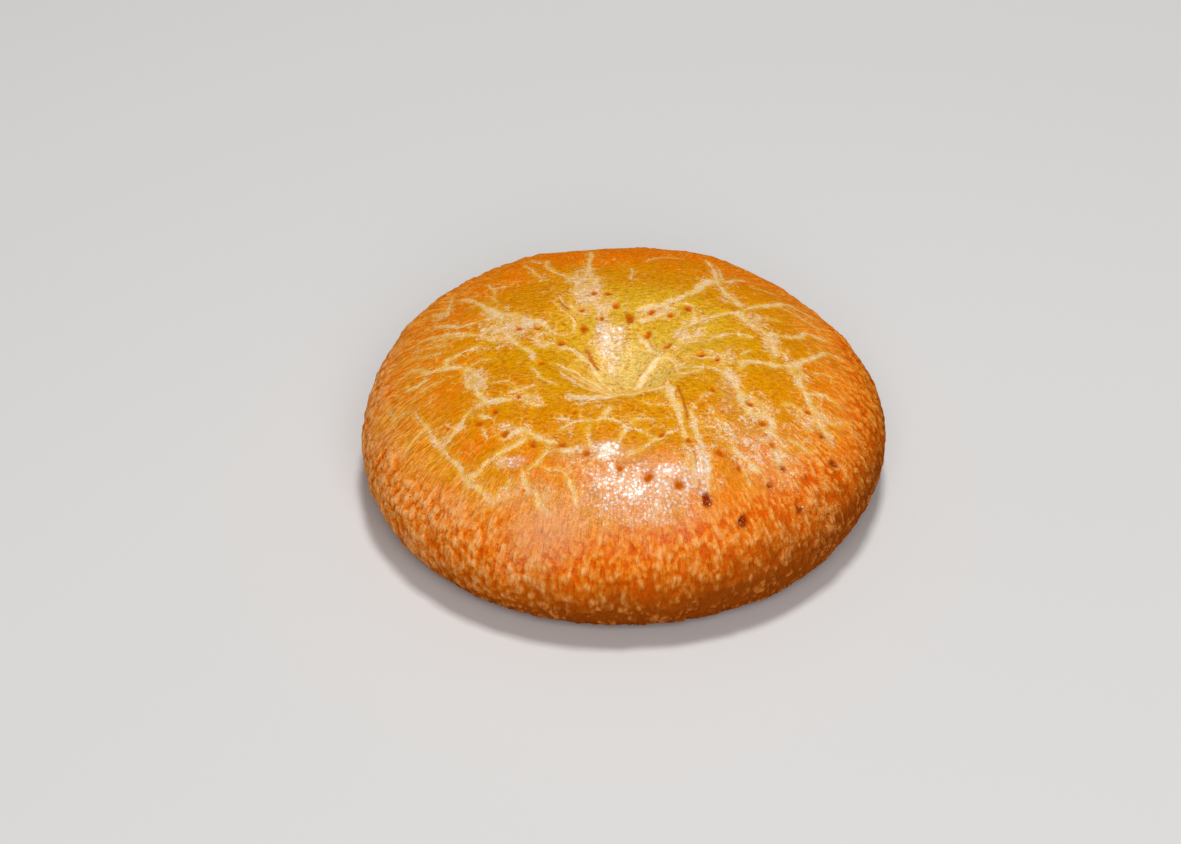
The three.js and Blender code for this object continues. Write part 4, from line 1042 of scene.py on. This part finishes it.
def add_knobs(n, p):
    """The side's tall soft knobs, the small ones of the shoulder, and the cake's left and right ends."""
    swirl = n.crooked(p.unrolled, p.mm, 2, 3, 1.2)
    p.knob = n.ramp(n.cells(swirl, KNOB_SIZE), 0.8, 0.15)
    seed = n.ramp(n.cells(n.vector("MULTIPLY", swirl, (1, 1, 0.75)), SEED_SIZE), 0.65, 0.1)
    p.seed = n.times(seed, n.ramp(n.total(p.reach, (p.blotch, 16), -8), 36, 48))
    p.ends = n.ramp(n.math("ABSOLUTE", n.towards(p.outward, (1, 0, 0))), 0.3, 0.9)


def add_beads(n, p):
    """Beads of glaze in the wet patches, whose paler colour is a painted highlight."""
    bead = n.ramp(n.cells(p.mm, BEAD_SIZE), 0.56, 0.14)
    p.bead = n.times(bead, n.ramp(n.total(p.wet, (p.blotch, 0.8), -0.4), 0.15, 0.6))


def glaze_colour(n, p):
    """Yellower in the middle, more orange outwards, pale in the hollow, with darker flecks."""
    yellowed = n.vector("SUBTRACT", p.flat, (*YELLOW_PLACE, 0))
    yellowed = n.length(n.vector("MULTIPLY", yellowed, YELLOW_SHAPE))
    warm = n.total(n.ramp(yellowed, 8, 42), (p.broad, 1.1), (p.blotch, 0.4), (p.streak, 0.9), -1.2)
    warm = n.total(warm, n.towards(p.mm, WARM_WAY))
    amber = n.mix(n.ramp(warm, 0.0, 0.5), AMBER_YELLOW, AMBER)
    amber = n.mix(n.ramp(warm, 0.5, 1.0), amber, AMBER_DEEP)
    amber = n.mix(n.ramp(n.total(yellowed, (p.blotch, 8), -4), 18, 8), amber, MIDDLE_YELLOW)
    amber = n.mix(p.inward, amber, HOLLOW_YELLOW)
    fleck = n.ramp(n.total((p.dash, 0.7), (p.fine, 0.3)), 0.52, 0.28)
    fleck = n.times(fleck, n.ramp(p.blotch, 0.35, 0.6, 0.2, 0.85))
    amber = n.mix(n.most(fleck, n.ramp(p.streak, 0.42, 0.3, 0, 0.6)), amber, FLECK)
    mottle = n.times(n.ramp(p.grit, 0.1, -1.0, 0, 0.5), n.ramp(p.blotch, 0.42, 0.62, 0.3, 1))
    return n.mix(mottle, amber, MOTTLE)


def dough_colour(n, p):
    cream = n.mix(n.ramp(n.total(p.blotch, (p.grit, 0.1)), 0.35, 0.65), CREAM_WARM, CREAM)
    speckled = n.times(n.ramp(p.grit, -0.2, 0.6, 0, 0.85), n.ramp(p.line, 0, 1, 1, 0.75))
    cream = n.mix(speckled, cream, SPECKLE)
    return n.mix(n.times(p.inward, 0.7), cream, HOLLOW_CREAM)


def top_colour(n, p):
    """Glaze, paler round its splits, with bare dough in them, deep orange grooves partly darkened by painted
    shade, and pale rills.
    """
    skin = n.mix(n.times(p.net, 0.7), glaze_colour(n, p), NET)
    glow = n.ramp(n.total(p.pale, (p.crackle, 0.5), (p.grit, 0.4)), 0.2, 1.1)
    skin = n.mix(n.most(p.halo, glow), skin, HONEY)
    skin = n.mix(p.torn, skin, FLECK)
    skin = n.mix(p.dough, skin, dough_colour(n, p))
    # The grooves' deep orange is partly the glaze and partly painted shade
    groove = n.total(distance_to(n, "groove"), (p.groove_half, -1.0), (p.grit, 0.1))
    skin = n.mix(n.times(n.ramp(groove, 0.35, -0.1), 0.8), skin, GROOVE_GLAZE_SHADE)
    crest = n.times(n.most(p.rill, p.seed), n.ramp(p.ends, 0, 1, 0.5, 0.78))
    return n.mix(crest, skin, n.mix(p.ends, RILL, RILL_PALE))


def side_colour(n, p):
    """Knobs pale on top, deep orange between, partly painted light and shade; browner low down, partly
    painted shade.
    """
    wall = n.total((p.blister, 0.95), (p.knob, 0.48), (p.streak, 0.5), (p.broad, 0.5), (p.dash, 0.3))
    # Painted light: paler at the left and right ends, and towards the left all over
    wall = n.total(wall, (p.grit, 0.04), -0.93, (p.ends, PAINTED_LIGHT_ENDS), (n.times(p.ends, p.grit), ENDS_GRIT))
    wall = n.total(wall, n.towards(p.outward, PAINTED_LIGHT_WAY))
    # Browner low down and towards the front right: partly the baked colour, partly painted shade
    low = n.total(p.reach, (p.broad, 12), (n.towards(p.outward, LOW_BROWN_SHADE_WAY), 7.5), -6)
    low = n.ramp(low, 54, 68)
    peach = n.ramp(n.towards(p.outward, PEACH_SIDE), -0.5, 0.4)
    deep = n.mix(low, SIDE_DEEP, LOW_DEEP_SHADED)
    middle = n.mix(low, SIDE_MIDDLE, LOW_DEEP_SHADED)
    high = n.mix(low, n.mix(peach, FAR_TOP, SIDE_TOP), LOW_TOP_SHADED)
    # The knobs' pale tops and deep gaps are partly their colour, partly painted light and shade
    skin = n.mix(n.ramp(wall, 0.0, 0.55), deep, middle)
    return n.mix(n.ramp(wall, 0.35, 1.1), skin, high)


def base_colour(n, p):
    return n.mix(n.ramp(n.noise(p.mm, BASE_MOTTLE_SIZE, 4, 0.6), 0.4, 0.65), BASE_TAN, BASE_BROWN)


def with_small_marks(n, p, skin):
    """The skin with a painted highlight haze and pale beads where the glaze is wet, docking holes with
    painted shade in their middles, baked sugar, and painted glints.
    """
    # Painted highlight: a pale haze where the glaze is wet
    skin = n.mix(n.ramp(p.wet, 0.0, 1.0, 0, 0.45), skin, HIGHLIGHT_HAZE)
    # Painted highlight: whitish beads of glaze
    skin = n.mix(n.times(p.bead, 0.8), skin, BEAD_HIGHLIGHT)
    skin = n.mix(n.ramp(n.total(p.hole, (p.grain, 0.3), -0.15), 0.15, -0.6), skin, HOLE)
    # Painted shade: darker towards the middle of each docking hole
    skin = n.mix(n.ramp(p.hole, -0.2, -1.0, 0, 0.8), skin, HOLE_SHADE)
    skin = n.mix(n.times(p.sugar, n.ramp(p.fine, 0.32, 0.52)), skin, SUGAR)
    # Painted glints: near-white dots in the colour, in crackled, wet and sugared places
    glinting = n.total(p.crackle, (p.halo, 0.4), (p.blotch, 1.2), (p.wet, 0.8), (p.sugar, 0.6), -0.68)
    glint = n.times(n.ramp(n.cells(p.mm, GLINT_SIZE), 0.26, 0.1), n.ramp(glinting, 0.2, 0.6))
    glint = n.times(glint, n.ramp(n.total(p.hole, (p.sugar, 0.7)), -0.3, 0.2))
    return n.mix(n.times(glint, 0.75), skin, PAINTED_GLINT)


def with_light_and_dark(n, p, skin):
    """The skin with painted light on the hollow's steep walls, for the light they pass to and fro, and with
    fine grain.
    """
    steep = n.times(n.ramp(p.from_hollow, 15, 8), p.steep)
    skin = n.scaled(skin, n.math("MULTIPLY_ADD", steep, HOLLOW_PAINTED_LIGHT, 1.0))
    grained = n.times(n.ramp(p.dash, 0.3, 0.7, *DASH_TONES), n.ramp(p.fine, 0.3, 0.7, *PORE_TONES))
    grained = n.times(n.ramp(p.grain, 0.28, 0.72, *GRAIN_TONES), grained)
    on_side = n.math("MULTIPLY_ADD", grained, SIDE_GRAIN, 1 - SIDE_GRAIN)
    return n.scaled(skin, n.ramp(p.side, 0, 1, grained, on_side))


def crust_colour(n, p):
    skin = n.mix(p.side, top_colour(n, p), side_colour(n, p))
    # Painted sheen: a pinkish peach reflection in the peach patches
    painted_sheen = n.ramp(n.total(p.peach, (p.blotch, 0.8), (p.grit, 0.2), -0.4), 0.05, 0.9, 0, 0.65)
    skin = n.mix(n.times(painted_sheen, n.ramp(p.peach, 0.0, 0.25)), skin, PEACH_SHEEN)
    skin = n.mix(p.base, skin, base_colour(n, p))
    return with_light_and_dark(n, p, with_small_marks(n, p, skin))


def crust_gloss(n, p):
    """Faint on the front side, strong where the glaze is wet, and none on the blistered side."""
    facing = n.ramp(n.towards(p.mm, GLOSS_WAY), *GLOSS_SPAN)
    gloss = n.times(n.ramp(p.rough, 0.05, 0.5, GLOSS, 2 * GLOSS), facing)
    beaded = n.most(n.total((p.bead, 0.85), 0.15), n.ramp(p.wet, 0.75, 1.15))
    shine = n.times(n.ramp(n.total(p.wet, (p.blotch, 0.6), -0.3), 0.2, 1.0), beaded)
    gloss = n.most(gloss, n.times(shine, WET_GLOSS))
    dull = n.ramp(n.total(p.in_hole, (p.sugar, -1.0)), 0, 1, 1, 0.05)
    return n.times(n.ramp(p.side, 0, 1, gloss, 0), dull)


def crust_bumps(n, p):
    """The relief of what is too small to build: pores, beads, rills, streaks and knobs."""
    pores = n.times(p.fine, n.times(n.ramp(p.rough, 0.1, 0.9, 0.3, 1.0), PORE_HEIGHT))
    bumps = n.total(pores, *((getattr(p, name), height) for name, height in BUMPS.items()))
    bumps = n.times(bumps, n.ramp(p.wet, 0.1, 0.8, 1, 0.4))
    knobs = n.total(*((getattr(p, name), height) for name, height in SIDE_BUMPS.items()))
    return n.total(bumps, n.times(knobs, p.side))


def crust_material():
    material = bpy.data.materials.new("glazed_crust")
    n = Nodes(material)
    p = crust_patterns(n)
    for add_part in (add_brushed_marks, add_hollow, add_splits, add_crackle, add_knobs, add_beads):
        add_part(n, p)
    p.in_hole = n.ramp(p.hole, 0.3, -0.3)
    p.rough = n.most(p.pale, p.crackle)
    bump = n.add("ShaderNodeBump", {"Height": crust_bumps(n, p), "Distance": MM, "Strength": 1.0})
    matt = n.total(ROUGHNESS, (p.in_hole, HOLE_ROUGHNESS))
    inputs = {"Base Color": crust_colour(n, p), "Roughness": matt, "Normal": bump.outputs[0]}
    n.surface({**inputs, "Specular IOR Level": crust_gloss(n, p)})
    return material


def floor_material():
    material = bpy.data.materials.new("pale_floor")
    Nodes(material).surface({"Base Color": FLOOR_GREY, "Roughness": FLOOR_ROUGHNESS})
    return material


def make_floor():
    mesh = bpy.data.meshes.new("floor")
    corners = [(x * FLOOR_REACH, y * FLOOR_REACH, 0) for x, y in ((-1, -1), (1, -1), (1, 1), (-1, 1))]
    mesh.from_pydata(corners, [], [(0, 1, 2, 3)])
    mesh.materials.append(floor_material())
    floor = link(bpy.data.objects.new("floor", mesh))


def aim(piece, direction):
    """Turns a lamp or camera so that it looks back along a direction."""
    piece.rotation_mode = "QUATERNION"
    piece.rotation_quaternion = direction.to_track_quat("Z", "Y")


def make_softbox(name, box):
    lamp = bpy.data.lights.new(name, "AREA")
    lamp.shape = "SQUARE"
    lamp.size = box["size"]
    lamp.energy = box["power"]
    softbox = link(bpy.data.objects.new(name, lamp))
    direction = Vector((box["right"], box["back"], box["up"])).normalized()
    softbox.location = direction * box["distance"]
    aim(softbox, direction)


def make_lights():
    make_softbox("softbox", SOFTBOX)
    make_softbox("fill_box", FILL_BOX)
    world = bpy.data.worlds.new("studio")
    bpy.context.scene.world = world
    world.use_nodes = True
    background = world.node_tree.nodes["Background"]
    background.inputs["Color"].default_value = (1, 1, 1, 1)
    background.inputs["Strength"].default_value = ROOM_LIGHT


def make_camera():
    elevation = math.radians(VIEW_ELEVATION)
    back = Vector((0, -math.cos(elevation), math.sin(elevation)))
    lens = bpy.data.cameras.new("camera")
    lens.lens = LENS
    lens.sensor_width = SENSOR_WIDTH
    camera = link(bpy.data.objects.new("camera", lens))
    camera.location = Vector(VIEW_AIM) + back * VIEW_DISTANCE
    aim(camera, back)
    bpy.context.scene.camera = camera


make_camera()
make_lights()
make_floor()
crust = build_piece()
crust.data.materials.append(crust_material())
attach(crust, "root")
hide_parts("flatcake")
bpy.context.scene.view_settings.view_transform = "Standard"
